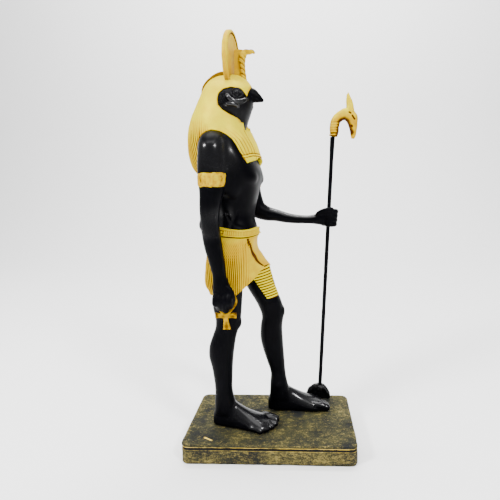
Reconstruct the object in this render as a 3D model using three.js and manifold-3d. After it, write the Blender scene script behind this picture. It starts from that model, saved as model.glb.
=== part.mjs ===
// Striding falcon-headed god on a plinth: base, figure, ankh and a three-part staff.
// Millimetres, Z up, +X the way the figure faces, -Y the figure's right side.
import * as THREE from "three";
import { mergeVertices } from "three/addons/utils/BufferGeometryUtils.js";
import Module from "manifold-3d";

const wasm = await Module();
wasm.setup();

// Driving sizes
const BASE_LENGTH = 124;
const BASE_DEPTH = 73.5;
const BASE_HEIGHT = 14.7;
const BASE_CORNER = 5;
const BASE_RIM = 2.3;
const BASE_GROOVE = 1.7;
const BASE_GROOVE_DEPTH = 1.4;
const BASE_CHAMFER = 0.6;
const GAP = 0.3;
const SOLE = BASE_HEIGHT + GAP;
const BODY_X = -24;
const BODY_TURN = -5;
const DISC_RADIUS = 18.7;
const DISC_THICK = 4;
const DISC_CENTRE = [-23.6, 0, 281.3];
const DISC_TURN = -2;
const STAFF_Y = 31;
const ROD_RADIUS = 1.6;
const ROD_FOOT = [38.8, STAFF_Y, 24.6];
const ROD_HEAD = [49.6, STAFF_Y, 231.6];
const ANKH_Y = -26.6;
const ANKH_THICK = 2.2;
const PLEATS = 30;
const PLEAT_DEPTH = 0.75;
const PANEL_STRIPES = 11;

const rad = THREE.MathUtils.degToRad;
const vec = (x, y, z) => new THREE.Vector3(x, y, z);
const lerp = THREE.MathUtils.lerp;
const smooth = THREE.MathUtils.smoothstep;

// Solids from rings of points
function solid(positions, index) {
  const geometry = new THREE.BufferGeometry();
  geometry.setAttribute("position", new THREE.Float32BufferAttribute(positions, 3));
  geometry.setIndex(index);
  return fromGeometry(geometry);
}

function fromGeometry(source) {
  const geometry = source.clone();
  geometry.deleteAttribute("normal");
  geometry.deleteAttribute("uv");
  const merged = mergeVertices(geometry, 1e-4);
  const vertProperties = merged.attributes.position.array;
  const triVerts = new Uint32Array(merged.index.array);
  const made = new wasm.Manifold(new wasm.Mesh({ numProp: 3, vertProperties, triVerts }));
  if (made.volume() > 0) return made;
  for (let i = 0; i < triVerts.length; i += 3) {
    const first = triVerts[i];
    triVerts[i] = triVerts[i + 1];
    triVerts[i + 1] = first;
  }
  return new wasm.Manifold(new wasm.Mesh({ numProp: 3, vertProperties, triVerts }));
}

// Closed body through rings that hold the same number of points, with a fan on each end.
function skin(rings) {
  const n = rings[0].length;
  const positions = [];
  const index = [];
  rings.forEach((ring) => ring.forEach((p) => positions.push(p.x, p.y, p.z)));
  for (let k = 0; k + 1 < rings.length; k++)
    for (let i = 0; i < n; i++) {
      const a = k * n + i;
      const b = k * n + ((i + 1) % n);
      index.push(a, b, a + n, b, b + n, a + n);
    }
  [0, rings.length - 1].forEach((k, end) => {
    const middle = rings[k].reduce((sum, p) => sum.add(p), vec(0, 0, 0)).divideScalar(n);
    const c = positions.length / 3;
    positions.push(middle.x, middle.y, middle.z);
    for (let i = 0; i < n; i++) {
      const a = k * n + i;
      const b = k * n + ((i + 1) % n);
      if (end === 0) index.push(b, a, c);
      else index.push(a, b, c);
    }
  });
  return solid(positions, index);
}

// Rows of numbers blended into more rows, softly curved.
function blend(rows, count) {
  const out = [];
  for (let k = 0; k < count; k++) {
    const s = (k / (count - 1)) * (rows.length - 1);
    const i = Math.min(Math.floor(s), rows.length - 2);
    const t = s - i;
    const r0 = rows[Math.max(i - 1, 0)];
    const r1 = rows[i];
    const r2 = rows[i + 1];
    const r3 = rows[Math.min(i + 2, rows.length - 1)];
    out.push(
      r1.map((_, j) => {
        const m1 = (r2[j] - r0[j]) / 2;
        const m2 = (r3[j] - r1[j]) / 2;
        const still = (1 + 2 * t) * (1 - t) ** 2 * r1[j] + t * t * (3 - 2 * t) * r2[j];
        return still + t * (1 - t) ** 2 * m1 + t * t * (t - 1) * m2;
      }),
    );
  }
  return out;
}

const power = (c, e) => Math.sign(c) * Math.abs(c) ** (2 / e);

// Level rings: rows are [z, front x, back x, middle y, half width, squareness].
function level(rows, n, swell = () => 0) {
  return rows.map(([z, front, back, y, half, e = 2.2]) =>
    Array.from({ length: n }, (_, i) => {
      const a = (2 * Math.PI * i) / n;
      const grow = swell(a, z);
      const cx = (front + back) / 2;
      const depth = (front - back) / 2 + grow;
      return vec(cx + depth * power(Math.cos(a), e), y + (half + grow) * power(Math.sin(a), e), z);
    }),
  );
}

// Rings along a path that stays near the XZ plane: rows are [x, y, z, half across, half along Y].
function sweep(rows, n, e = 2.2) {
  return rows.map(([x, y, z, a, b], k) => {
    const p = rows[Math.max(k - 1, 0)];
    const q = rows[Math.min(k + 1, rows.length - 1)];
    const along = vec(q[0] - p[0], 0, q[2] - p[2]).normalize();
    const across = vec(0, 1, 0).cross(along);
    return Array.from({ length: n }, (_, i) => {
      const t = (2 * Math.PI * i) / n;
      return vec(x, y, z)
        .addScaledVector(across, a * power(Math.cos(t), e))
        .add(vec(0, b * power(Math.sin(t), e), 0));
    });
  });
}

// Round bar along a free path, thinner towards both ends.
function bar(points, radius, n = 6, steps = 8, ends = 0.55) {
  const curve = new THREE.CatmullRomCurve3(points.map((p) => vec(...p)));
  const frames = curve.computeFrenetFrames(steps, false);
  const rings = [];
  for (let k = 0; k <= steps; k++) {
    const t = k / steps;
    const r = radius * lerp(ends, 1, Math.sqrt(Math.max(0, 1 - (2 * t - 1) ** 4)));
    const p = curve.getPointAt(t);
    rings.push(
      Array.from({ length: n }, (_, i) => {
        const a = (2 * Math.PI * i) / n;
        return p
          .clone()
          .addScaledVector(frames.normals[k], r * Math.cos(a))
          .addScaledVector(frames.binormals[k], r * Math.sin(a));
      }),
    );
  }
  return skin(rings);
}

function ball(x, y, z, rx, ry, rz, n = 10) {
  const geometry = new THREE.SphereGeometry(1, n, Math.round(n * 0.6));
  geometry.scale(rx, ry, rz);
  geometry.translate(x, y, z);
  return fromGeometry(geometry);
}

// Prism from an outline in the XZ plane, through Y from y0 to y1.
function prism(outline, y0, y1) {
  const shape = new THREE.Shape(outline.map(([x, z]) => new THREE.Vector2(x, z)));
  const geometry = new THREE.ExtrudeGeometry(shape, { depth: y1 - y0, bevelEnabled: false });
  geometry.rotateX(Math.PI / 2);
  geometry.translate(0, y1, 0);
  return fromGeometry(geometry);
}

const join = (...parts) => parts.flat().reduce((sum, p) => sum.add(p));
// Pockets shut inside a joined body are filled.
const filled = (part) => join(part.decompose().filter((piece) => piece.volume() > 0));
const mirrored = (make) => [-1, 1].map(make);

// The body faces a little towards its own right side.
function turned(part) {
  const m = new THREE.Matrix4()
    .makeTranslation(BODY_X, 0, 0)
    .multiply(new THREE.Matrix4().makeRotationZ(rad(BODY_TURN)))
    .multiply(new THREE.Matrix4().makeTranslation(-BODY_X, 0, 0));
  return part.transform(m.elements);
}

// Base
function base() {
  const top = BASE_HEIGHT;
  const lip = top - BASE_RIM;
  const ledge = lip - BASE_GROOVE;
  const ease = BASE_CHAMFER / 2;
  const profile = [
    [0, -BASE_CHAMFER],
    [BASE_CHAMFER, 0],
    [ledge - ease, 0],
    [ledge, -BASE_GROOVE_DEPTH],
    [lip, -BASE_GROOVE_DEPTH],
    [lip + ease, 0],
    [top - BASE_CHAMFER, 0],
    [top, -BASE_CHAMFER],
  ];
  const alongX = BASE_LENGTH / 2 - BASE_CORNER;
  const alongY = BASE_DEPTH / 2 - BASE_CORNER;
  const corner = 3;
  return skin(
    profile.map(([z, off]) => {
      const ring = [];
      for (let q = 0; q < 4; q++)
        for (let k = 0; k <= corner; k++) {
          const a = rad(90 * q + (90 * k) / corner);
          const sx = q === 0 || q === 3 ? 1 : -1;
          const sy = q < 2 ? 1 : -1;
          const r = BASE_CORNER + off;
          ring.push(vec(sx * alongX + r * Math.cos(a), sy * alongY + r * Math.sin(a), z));
        }
      return ring;
    }),
  );
}

// Body
const TORSO = [
  [156, -9, -42, 0, 20, 2.3],
  [164, -8.4, -38.6, 0, 18.2, 2.3],
  [171, -10, -38, 0, 17.6, 2.3],
  [180, -9, -38.6, 0, 19.2, 2.4],
  [195, -5.6, -41, 0, 24.6, 2.5],
  [201, -3.8, -42, 0, 27, 2.5],
  [210, -6.4, -43, 0, 29, 2.5],
  [220, -11, -42, 0, 28.6, 2.4],
  [226.5, -13, -39.5, 0, 25.6, 2.3],
  [230.4, -14, -37, 0, 20, 2.2],
  [233.5, -14.5, -35.5, 0, 12, 2.1],
  [239, -13.5, -35, 0, 9.6, 2.1],
  [247, -12, -34, 0, 10, 2.1],
];

const RIGHT_LEG = [
  [146, -18, -43, -11.5, 11, 2.2],
  [117, -18.6, -41, -12, 10.8, 2.2],
  [99, -20.1, -38.5, -12.3, 8.8, 2.2],
  [93, -21.3, -38.6, -12.4, 8.3, 2.3],
  [86, -23.6, -41, -12.5, 8.2, 2.2],
  [78, -25.2, -43.7, -12.6, 8.5, 2.2],
  [71, -26.3, -44.3, -12.5, 8.3, 2.2],
  [52, -27.8, -41.4, -12, 6.2, 2.2],
  [42, -28, -41.1, -11.4, 5.9, 2.2],
  [35, -26.6, -41.8, -10.8, 6.4, 2.2],
  [25, -24, -42, -10.4, 6, 2.2],
];

const LEFT_LEG = [
  [146, -6, -32, 10.5, 11, 2.2],
  [130, 0.2, -24.5, 11.2, 11.3, 2.2],
  [113, 4.9, -16, 12, 10.4, 2.2],
  [106, 7.9, -12, 12.3, 9.6, 2.2],
  [100, 9.5, -9.2, 12.6, 8.9, 2.2],
  [94, 9.9, -7.3, 12.8, 8.5, 2.3],
  [85, 8.7, -8.4, 13, 8.4, 2.2],
  [75, 8.9, -8.7, 13.2, 8.4, 2.2],
  [56, 10, -4, 13.6, 6.6, 2.2],
  [45, 10.8, -1.2, 13.8, 5.9, 2.2],
  [38, 12, -1.8, 13.8, 6.3, 2.2],
  [25, 16, -2.6, 14, 6, 2.2],
];

// Foot rows: distance from the heel, inner edge, outer edge, height over the sole.
const FOOT = [
  [0, 2.4, -2.4, 8],
  [2, 4.8, -4.6, 13.5],
  [6, 6.2, -6, 20],
  [13, 6.6, -6.8, 20.5],
  [27, 7.6, -9.6, 12.6],
  [34, 8.8, -11.4, 9.6],
  [43, 8, -9.5, 5.8],
];
// Toe rows: tip distance, tip offset, root distance, root offset, radius.
const TOES = [
  [49.8, 5.6, 36, 5.6, 3.2],
  [49.6, 0.6, 36, 1.2, 2.4],
  [47.6, -3.6, 35, -2.6, 2.3],
  [44.4, -7.4, 33, -6.2, 2.2],
  [40.4, -10.8, 30, -9.2, 2.2],
];

function foot(heelX, heelY, angle, inner) {
  const place = (s, m, z) =>
    vec(
      heelX + s * Math.cos(rad(angle)) - m * inner * Math.sin(rad(angle)),
      heelY + s * Math.sin(rad(angle)) + m * inner * Math.cos(rad(angle)),
      SOLE + z,
    );
  const rings = FOOT.map(([s, m0, m1, high]) =>
    Array.from({ length: 10 }, (_, i) => {
      const a = (2 * Math.PI * (i + 0.5)) / 10;
      const up = Math.sin(a);
      const z = up > 0 ? 2.6 + (high - 2.6) * power(up, 2) : 2.6 + 2.6 * power(up, 3.4);
      return place(s, (m0 + m1) / 2 + ((m0 - m1) / 2) * power(Math.cos(a), 2.4), z);
    }),
  );
  const toes = TOES.map(([s1, m1, s0, m0, r]) => {
    const steps = [0.1, 0.84, 1];
    const size = [1, 1, 0.45];
    const toe = steps.map((t, k) =>
      Array.from({ length: 5 }, (_, i) => {
        const a = (2 * Math.PI * (i + 0.25)) / 5;
        const high = lerp(r * 1.12, r, t);
        return place(
          lerp(s0, s1, t),
          lerp(m0, m1, t) + r * size[k] * Math.cos(a),
          Math.max(0, high + high * size[k] * Math.sin(a)),
        );
      }),
    );
    return skin(toe);
  });
  return join(skin(rings), toes);
}

const FINGER = 2.15;
const FINGER_PITCH = 3.3;
const THUMB = 2.3;

const RIGHT_ARM = [
  [229.4, -30.5, -37, -26, 3.4, 2],
  [227, -27, -40, -27, 7, 2.1],
  [221, -25, -42.4, -28, 9, 2.2],
  [213, -24.4, -42.6, -28, 9.2, 2.2],
  [197, -25.6, -43.3, -28.4, 8.6, 2.2],
  [188, -27, -42.7, -28.4, 7.8, 2.2],
  [170, -30.4, -42.8, -28.5, 6.5, 2.2],
  [162, -29.8, -42.2, -28.4, 6.4, 2.2],
  [142, -27.8, -38.3, -27.7, 5.4, 2.2],
  [133, -27, -36.4, -27.3, 4.9, 2.2],
  [127, -25.2, -36.5, -27, 5.4, 2.3],
  [120, -23.6, -36.7, -26.8, 5.6, 2.4],
  [113, -23.8, -36.2, -26.6, 5.6, 2.4],
  [108.6, -26, -34, -26.6, 4, 2.2],
];

function rightArm() {
  const arm = skin(level(RIGHT_ARM, 10));
  const fingers = [0, 1, 2, 3].map((k) => {
    const x = -34.4 + FINGER_PITCH * k;
    const curl = [[-31.4, 118 + k], [-32, 112.6], [-28.6, 109], [-24.2, 110], [-22.4, 115]];
    return bar(curl.map(([y, z]) => [x, y, z]), FINGER, 4, 4);
  });
  const thumb = [[-25.5, -29.5, 125], [-23.4, -29.6, 120.5], [-23, -28, 116], [-24.6, -25.6, 112.6]];
  return join(arm, fingers, bar(thumb, THUMB, 5, 3));
}

const LEFT_ARM = [
  [-23, 25, 228.6, 3.2, 3.4],
  [-21.6, 27, 224, 8, 7.6],
  [-19.2, 28.3, 211, 9.2, 9],
  [-16.3, 28.8, 193, 8.5, 8.2],
  [-14.2, 29, 184, 7.9, 7.2],
  [-10.6, 29.2, 176.6, 7.2, 6.6],
  [-4, 29.4, 172.9, 6, 6],
  [13, 29.8, 168.9, 4.1, 5],
  [23, 30.1, 167.6, 3.5, 4.5],
  [32, 30.3, 167.3, 3.5, 4.2],
  [43, 30.6, 168.2, 6.4, 5.2],
  [48.5, 30.8, 168.3, 6.4, 4.8],
  [51, 30.8, 168.2, 4.8, 3.2],
];

function leftArm() {
  const arm = skin(sweep(LEFT_ARM, 10));
  const fingers = [0, 1, 2, 3].map((k) => {
    const z = 163.4 + FINGER_PITCH * k;
    const ahead = 0.35 * k;
    const wrap = [[42, 35], [47.4, 35.4], [51.2, 31], [48.4, 26], [43.6, 26.2]];
    return bar(wrap.map(([x, y]) => [x + ahead, y, z]), FINGER, 4, 5);
  });
  const thumb = [[37.5, 28.6, 171.4], [42, 26.2, 173.6], [46.6, 25.4, 174.6], [49.6, 27.2, 175]];
  return join(arm, fingers, bar(thumb, FINGER, 5, 3));
}

// Armlets: a barrel-shaped band on each upper arm. Barrel rows: place along the band, height over the arm.
const BARREL = [
  [0, 0],
  [0.02, 0.6],
  [0.25, 1],
  [0.75, 1],
  [0.98, 0.6],
  [1, 0],
];
const RIGHT_ARMLET = [
  [201.4, -25.2, -43.3, -28.3, 9, 2.1],
  [191.6, -26.8, -43, -28.4, 8.2, 2.1],
];
const LEFT_ARMLET = [
  [-17.8, 28.6, 201.8, 9.1, 9],
  [-16.2, 28.8, 192.2, 8.4, 8.2],
];

function armlets() {
  const between = ([a, b], t) => a.map((value, j) => lerp(value, b[j], t));
  const right = BARREL.map(([t, grow]) => {
    const [z, front, back, y, half, e] = between(RIGHT_ARMLET, t);
    return [z, front + grow, back - grow, y, half + grow, e];
  });
  const left = BARREL.map(([t, grow]) => {
    const [x, y, z, across, deep] = between(LEFT_ARMLET, t);
    return [x, y, z, across + grow, deep + grow];
  });
  return join(skin(level(right, 12)), skin(sweep(left, 12)));
}

// Kilt, belt and striped panel
// Kilt rows: share of the drop, front x, back x, half width, shear.
const KILT = [
  [0, -7.4, -41.5, 22, 0],
  [0.3, -8, -41.4, 24.4, 0.12],
  [0.62, -6.2, -40.6, 26, 0.27],
  [1, -1.8, -34.8, 26.6, 0.4],
];
const KILT_TOP = 158;
const KILT_HEM = 118.5;
const KILT_FRONT = 133;
const KILT_SQUARE = 2.25;
// The edge of the wrap runs from here at the belt to there at the hem, in degrees from the front.
const WRAP_START = -54;
const WRAP_END = 10.5;
const WRAP_BACK = -150;
const WRAP_LIFT = 0.9;

function kilt() {
  const n = 2 * PLEATS;
  const rings = KILT.map(([t, front, back, half, shear]) =>
    Array.from({ length: n }, (_, i) => {
      let a = (360 * i) / n;
      if (a > 180) a -= 360;
      const open = Math.min(Math.max((Math.abs(a) - 10) / 50, 0), 1);
      const hem = lerp(KILT_FRONT, KILT_HEM, open);
      const z = lerp(KILT_TOP, hem, t);
      const edge = lerp(WRAP_START, WRAP_END, t ** 0.65);
      const wrap = a < edge && a > WRAP_BACK ? WRAP_LIFT : 0;
      const pleat = i % 2 === 0 ? 0 : -PLEAT_DEPTH * smooth(t, 0.02, 0.2);
      const out = wrap + pleat;
      const y = (half + out) * power(Math.sin(rad(a)), KILT_SQUARE);
      const x = (front + back) / 2 + ((front - back) / 2 + out) * power(Math.cos(rad(a)), KILT_SQUARE);
      return vec(x + shear * y, y, z);
    }),
  );
  return skin(rings);
}

// Belt rows: height over its foot, how far it stands off the waist.
const BELT_FOOT = 156.6;
const BELT = [
  [0, 0.2],
  [0.2, 1.6],
  [1.4, 1.6],
  [1.6, 1],
  [5.7, 1],
  [5.9, 1.6],
  [7, 1.6],
  [7.3, -1],
];

function belt() {
  const tall = BELT[BELT.length - 1][0];
  const rows = BELT.map(([up, grow]) => {
    const t = up / tall;
    const front = lerp(-7.2, -8, t) + grow;
    const back = lerp(-42.2, -41, t) - grow;
    return [BELT_FOOT + up, front, back, 0, lerp(21.8, 19.6, t) + grow, KILT_SQUARE];
  });
  return skin(level(rows, 16));
}

// Striped tab that lies on the left thigh, with bands that rise towards its front edge.
const PANEL_OUTLINE = [
  [-9.2, 134.5],
  [-0.2, 134.5],
  [3.2, 120.5],
  [6.4, 111.6],
  [1.8, 109.6],
  [-1.9, 109.6],
  [-11.3, 124.8],
  [-11.3, 129],
];
const PANEL_NEAR = -6;
const PANEL_FAR = 9;
const PANEL_SLOPE = 0.22;

function stripedPanel() {
  const count = 2 * PANEL_STRIPES;
  const thigh = blend(LEFT_LEG.slice(0, 4), 61);
  const rows = Array.from({ length: count }, (_, k) => thigh[Math.round(lerp(14, 60, k / (count - 1)))]);
  const rings = level(rows, 14).map((ring, k) => {
    const lift = k % 2 === 0 ? 1.7 : 1;
    const [, front, back, y, half] = rows[k];
    const cx = (front + back) / 2;
    const wide = 1 + lift / ((front - back) / 2);
    const deep = 1 + lift / half;
    return ring.map((p) => vec(cx + (p.x - cx) * wide, y + (p.y - y) * deep, p.z + (p.x - cx) * PANEL_SLOPE));
  });
  return skin(rings).intersect(prism(PANEL_OUTLINE, PANEL_NEAR, PANEL_FAR));
}

// Head and headdress
const SKULL = [
  [234, -14.4, -34, 0, 9, 2.1],
  [240, -12.4, -34, 0, 9.6, 2.1],
  [245, -10.6, -36, 0, 11.4, 2.2],
  [250, -9.2, -37, 0, 12.8, 2.2],
  [255, -8.4, -37.5, 0, 13.2, 2.2],
  [259, -8.6, -36, 0, 12.6, 2.2],
  [263, -10, -34, 0, 10.6, 2.1],
  [267, -15, -32, 0, 6.5, 2],
];
const BEAK = [
  [-13, 0, 256.4, 5.6, 6.8],
  [-9.4, 0, 256, 5.4, 5.4],
  [-6.6, 0, 254.6, 4.2, 4],
  [-4.4, 0, 253.5, 3.1, 2.8],
  [-2.6, 0, 252.6, 2, 1.6],
  [-1.2, 0, 251.8, 1, 0.7],
];
const HOOD = [
  [270.6, -20, -32, 0, 3, 2],
  [268.4, -14.4, -38, 0, 7.6, 2],
  [265, -11, -41.4, 0, 11.4, 2.1],
  [260.6, -8.6, -44, 0, 15.4, 2.2],
  [254, -8, -46.8, 0, 18.8, 2.2],
  [247.5, -9, -50, 0, 21, 2.2],
  [241, -12, -53, 0, 22.4, 2.2],
  [234, -13.6, -55, 0, 23.6, 2.2],
  [228.5, -14, -56.4, 0, 23.8, 2.2],
];
const LOBE = [
  [247, -30, -47, 0, 17, 2.2],
  [240, -28, -53.2, 0, 21.6, 2.2],
  [228, -32, -56.5, 0, 23, 2.2],
  [221, -36, -57, 0, 22, 2.3],
  [214, -38, -56.4, 0, 19.6, 2.4],
  [208, -38, -54.3, 0, 16.6, 2.4],
  [203.4, -38, -51.6, 0, 13.6, 2.4],
  [201.8, -38, -49.6, 0, 11.5, 2.4],
];
const LOBE_SIDES = 24;
const LOBE_LINE = 0.7;
// Side outline of the face opening in the headdress.
const FACE_OPENING = [
  [-29, 250.6],
  [-28.4, 254.6],
  [-25.4, 257.6],
  [-20.6, 259],
  [-15.6, 258.4],
  [-12.6, 256.4],
  [-10.8, 253.6],
  [-9.8, 258.6],
  [-8.6, 263],
  [4, 264],
  [4, 224],
  [-14.6, 224],
  [-15.2, 234],
  [-16.4, 238.4],
  [-21, 240.4],
  [-25.6, 243.4],
  [-28.4, 246.6],
];

function headdress() {
  const hood = skin(level(HOOD, 18)).subtract(prism(FACE_OPENING, -40, 40));
  const lobeStripes = (a, z) => {
    const k = Math.round((a / (2 * Math.PI)) * LOBE_SIDES);
    return k % 2 === 0 ? 0 : -LOBE_LINE * (1 - smooth(z, 226, 238));
  };
  const lobe = skin(level(blend(LOBE, 5), LOBE_SIDES, lobeStripes));
  const ridge = skin(
    sweep(
      [
        [-25, 0, 269.4, 3, 3],
        [-31, 0, 269.4, 3, 3],
        [-37, 0, 266.4, 3, 3],
        [-42, 0, 261.4, 2.6, 3],
        [-44.6, 0, 256.6, 1.2, 2.4],
      ],
      6,
      3,
    ),
  );
  return [hood, lobe, ridge];
}

// Lappet rows: height, middle x, front depth, half width, start and end angle.
const LAPPET = [
  [243, -28, 15, 19.4, 40, 100],
  [237, -28, 16, 21.4, 26, 96],
  [230, -27, 17, 24, -1, 84],
  [223, -25.6, 18.8, 27.4, -1, 66],
  [216, -24.6, 20, 28.6, -1, 56],
  [210.4, -24, 20.6, 29.4, -1, 48],
];
const LAPPET_THICK = 5;
const LAPPET_LINE = 0.55;
const LAPPET_BAND = [212.6, 215.8];

function lappet(side) {
  const cuts = 6;
  const rows = blend(LAPPET, 4);
  const ring = ([z, cx, front, half, a0, a1], lift) => {
    const outer = Array.from({ length: cuts + 1 }, (_, i) => {
      const a = rad(lerp(a0, a1, i / cuts));
      const g = (i % 2 === 0 ? LAPPET_LINE : 0) + lift;
      return vec(cx + (front + g) * Math.cos(a), side * (half + g) * Math.sin(a), z);
    });
    const inner = [1, 0].map((t) => {
      const a = rad(lerp(a0, a1, t));
      return vec(cx + (front - LAPPET_THICK) * Math.cos(a), side * (half - LAPPET_THICK) * Math.sin(a), z);
    });
    return outer.concat(inner);
  };
  const top = LAPPET[0][0];
  const end = LAPPET[LAPPET.length - 1][0];
  const fine = blend(LAPPET, 101);
  const bands = LAPPET_BAND.map((z) => [z, ...fine[Math.round((100 * (top - z)) / (top - end))].slice(1)]);
  return [
    skin(rows.map((r) => ring(r, 0))),
    skin([ring(bands[0], 0.5), ring(bands[1], 0.5)]),
  ];
}

// Each eye is a ring round a pupil, over a curved ridge. Cheek rows: x, distance from the middle, height.
const EYE = [-16.2, 11.6, 254.9];
const EYE_RADIUS = 3;
const PUPIL = 1.7;
const CHEEK = [
  [-22, 12.9, 254.2],
  [-20, 12.9, 251.6],
  [-16.6, 12.2, 250.4],
  [-12.4, 10, 252],
];

function face() {
  const parts = [skin(level(SKULL, 14)), skin(sweep(BEAK, 8, 2))];
  mirrored((side) => {
    const [x, y, z] = [EYE[0], side * EYE[1], EYE[2]];
    const eye = new THREE.TorusGeometry(EYE_RADIUS, 0.8, 3, 9);
    eye.rotateX(Math.PI / 2);
    eye.rotateZ(rad(side * -18));
    eye.translate(x, y, z);
    parts.push(fromGeometry(eye), ball(x, y, z, PUPIL, PUPIL, PUPIL, 6));
    parts.push(bar(CHEEK.map(([a, out, c]) => [a, side * out, c]), 0.95, 4, 5));
  });
  return parts;
}

function disc() {
  const r = DISC_RADIUS;
  const h = DISC_THICK / 2;
  const profile = [
    [0, -h],
    [r, -h + 0.5],
    [r, h - 0.5],
    [r - 2, h],
    [r - 2.6, h - 0.5],
    [0, h - 0.5],
  ].map(([a, b]) => new THREE.Vector2(a, b));
  const geometry = new THREE.LatheGeometry(profile, 22);
  geometry.rotateZ(-Math.PI / 2);
  geometry.rotateZ(rad(DISC_TURN));
  geometry.translate(...DISC_CENTRE);
  return fromGeometry(geometry);
}

const COBRA = [
  [-15.4, 0, 262, 2.4, 3],
  [-15, 0, 268, 2.8, 3.2],
  [-16.4, 0, 272.4, 2.5, 3.2],
  [-16.2, 0, 276.6, 2.7, 3.8],
  [-16.4, 0, 280.6, 2.9, 4.2],
  [-16, 0, 284, 3, 3.4],
  [-14, 0, 286, 1.9, 2.4],
  [-10.6, 0, 285.9, 1.5, 2.4],
  [-8.2, 0, 285, 1.2, 1.9],
  [-6.9, 0, 284.4, 0.6, 0.9],
];

function figure() {
  const core = join(
    skin(level(TORSO, 14)),
    headdress(),
    mirrored(lappet).flat(),
    face(),
    disc(),
    skin(sweep(COBRA, 6)),
    kilt(),
    belt(),
  );
  const limbs = join(
    skin(level(RIGHT_LEG, 10)),
    skin(level(LEFT_LEG, 10)),
    foot(-43.6, -8.2, -6.5, 1),
    foot(-3.8, 14.6, 1.5, -1),
    rightArm(),
    leftArm(),
    armlets(),
    stripedPanel(),
  );
  return filled(join(turned(core), limbs));
}

// Ankh: a drop-shaped loop over a flared crossbar and stem. grow makes the cutter for its seat in the fist.
const ANKH_X = -28.4;
const ANKH_FOOT = 94.9;
const ANKH_BAR = 104.3;
const ANKH_TOP = 122.5;
const LOOP_HALF = 7.2;
const STRAND = 1.15;
const BAR_HALF = 7.3;
const BAR_END = 1.9;
const STEM_TOP = 1.5;
const STEM_END = 2.3;

function ankh(grow) {
  const cx = ANKH_X;
  const w = STRAND + grow;
  const loop = (out) =>
    Array.from({ length: 20 }, (_, k) => {
      const a = rad(-90 + 18 * k);
      const t = (Math.sin(a) + 1) / 2;
      const drop = lerp(0.66, 1, smooth(t, 0, 0.5));
      return [cx + (LOOP_HALF + out) * Math.cos(a) * drop, lerp(ANKH_BAR + 1 - out, ANKH_TOP + out, t)];
    });
  const y0 = ANKH_Y - ANKH_THICK / 2 - grow;
  const y1 = ANKH_Y + ANKH_THICK / 2 + grow;
  const ring = prism(loop(w), y0, y1).subtract(prism(loop(-w), y0 - 1, y1 + 1));
  const half = BAR_HALF + grow;
  const end = BAR_END + grow;
  const upper = [[cx - half, ANKH_BAR + end], [cx, ANKH_BAR + w], [cx + half, ANKH_BAR + end]];
  const lower = [[cx + half, ANKH_BAR - end], [cx, ANKH_BAR - w], [cx - half, ANKH_BAR - end]];
  const stem = [
    [cx - STEM_TOP - grow, ANKH_BAR],
    [cx + STEM_TOP + grow, ANKH_BAR],
    [cx + STEM_END + grow, ANKH_FOOT - grow],
    [cx - STEM_END - grow, ANKH_FOOT - grow],
  ];
  return join(ring, prism([...upper, ...lower], y0, y1), prism(stem, y0, y1));
}

// Staff
function rod(grow) {
  const n = 10;
  const along = vec(...ROD_HEAD).sub(vec(...ROD_FOOT));
  const rows = [
    [0, ROD_RADIUS],
    [0.9, ROD_RADIUS],
    [1, ROD_RADIUS * 1.2],
  ];
  return skin(
    rows.map(([t, r]) => {
      const c = vec(...ROD_FOOT).addScaledVector(along, t);
      return Array.from({ length: n }, (_, i) => {
        const a = (2 * Math.PI * i) / n;
        return vec(c.x + (r + grow) * Math.cos(a), c.y + (r + grow) * Math.sin(a), c.z);
      });
    }),
  );
}

const NECK = [
  [50.1, STAFF_Y, 231.9, 2.9, 2.9],
  [50.6, STAFF_Y, 235, 2.9, 2.9],
  [50.8, STAFF_Y, 239, 3.9, 3.4],
  [51.8, STAFF_Y, 244, 4, 3.6],
  [54.6, STAFF_Y, 247.8, 3.9, 3.7],
  [58.6, STAFF_Y, 249.4, 4.2, 3.9],
  [62.6, STAFF_Y, 249.4, 4.8, 3.9],
  [65.6, STAFF_Y, 246, 4.2, 3.6],
  [66.4, STAFF_Y, 241, 3.2, 3],
  [66.3, STAFF_Y, 236, 2.4, 2.5],
  [66, STAFF_Y, 232.4, 1.9, 2.1],
  [65.8, STAFF_Y, 231.2, 1.2, 1.4],
];

function staffHead() {
  const ear = mirrored((side) =>
    skin(
      sweep(
        [
          [61.6, STAFF_Y + side * 2, 250, 2.6, 1.5],
          [61.8, STAFF_Y + side * 2.3, 256, 2.7, 1.3],
          [61.7, STAFF_Y + side * 2.5, 260.4, 1.7, 1],
          [61.2, STAFF_Y + side * 2.6, 264, 0.4, 0.4],
        ],
        6,
      ),
    ),
  );
  return join(skin(sweep(NECK, 10)), ear);
}

// Half the thickness of the thin web that fills the fork of the staff's foot.
const WEB = 1.2;

function staffFoot() {
  const y = STAFF_Y;
  const prong = mirrored((side) =>
    skin(
      sweep(
        [
          [38.6, y, 26, 2.4, 2.3],
          [38.2 + side * 3.4, y, 25, 2.3, 2.3],
          [37.6 + side * 6.6, y, 22.2, 2.1, 2.2],
          [37.4 + side * 8.4, y, 18.4, 1.9, 2.1],
          [37.3 + side * 8.6, y, SOLE, 1.8, 2],
        ],
        6,
        2.6,
      ).map((r, k, all) => (k === all.length - 1 ? r.map((p) => vec(p.x, p.y, SOLE)) : r)),
    ),
  );
  const collar = [[38.4, y, 22.6, 2.9, 2.7], [38.6, y, 25.6, 3.2, 2.8], [38.9, y, 27.7, 2.6, 2.6]];
  const web = [[30.6, SOLE], [30.6, 20], [34, 24], [42, 24], [44.4, 20], [44.4, SOLE]];
  return filled(join(prong, skin(sweep(collar, 8)), prism(web, y - WEB, y + WEB)).subtract(rod(GAP)));
}

// Meshes
const BLACK = { color: 0x0c0c0d, roughness: 0.28, metalness: 0 };
const GOLD = { color: 0xb8862b, roughness: 0.42, metalness: 0.55 };
const STONE = { color: 0x3a3528, roughness: 0.85, metalness: 0 };

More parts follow.
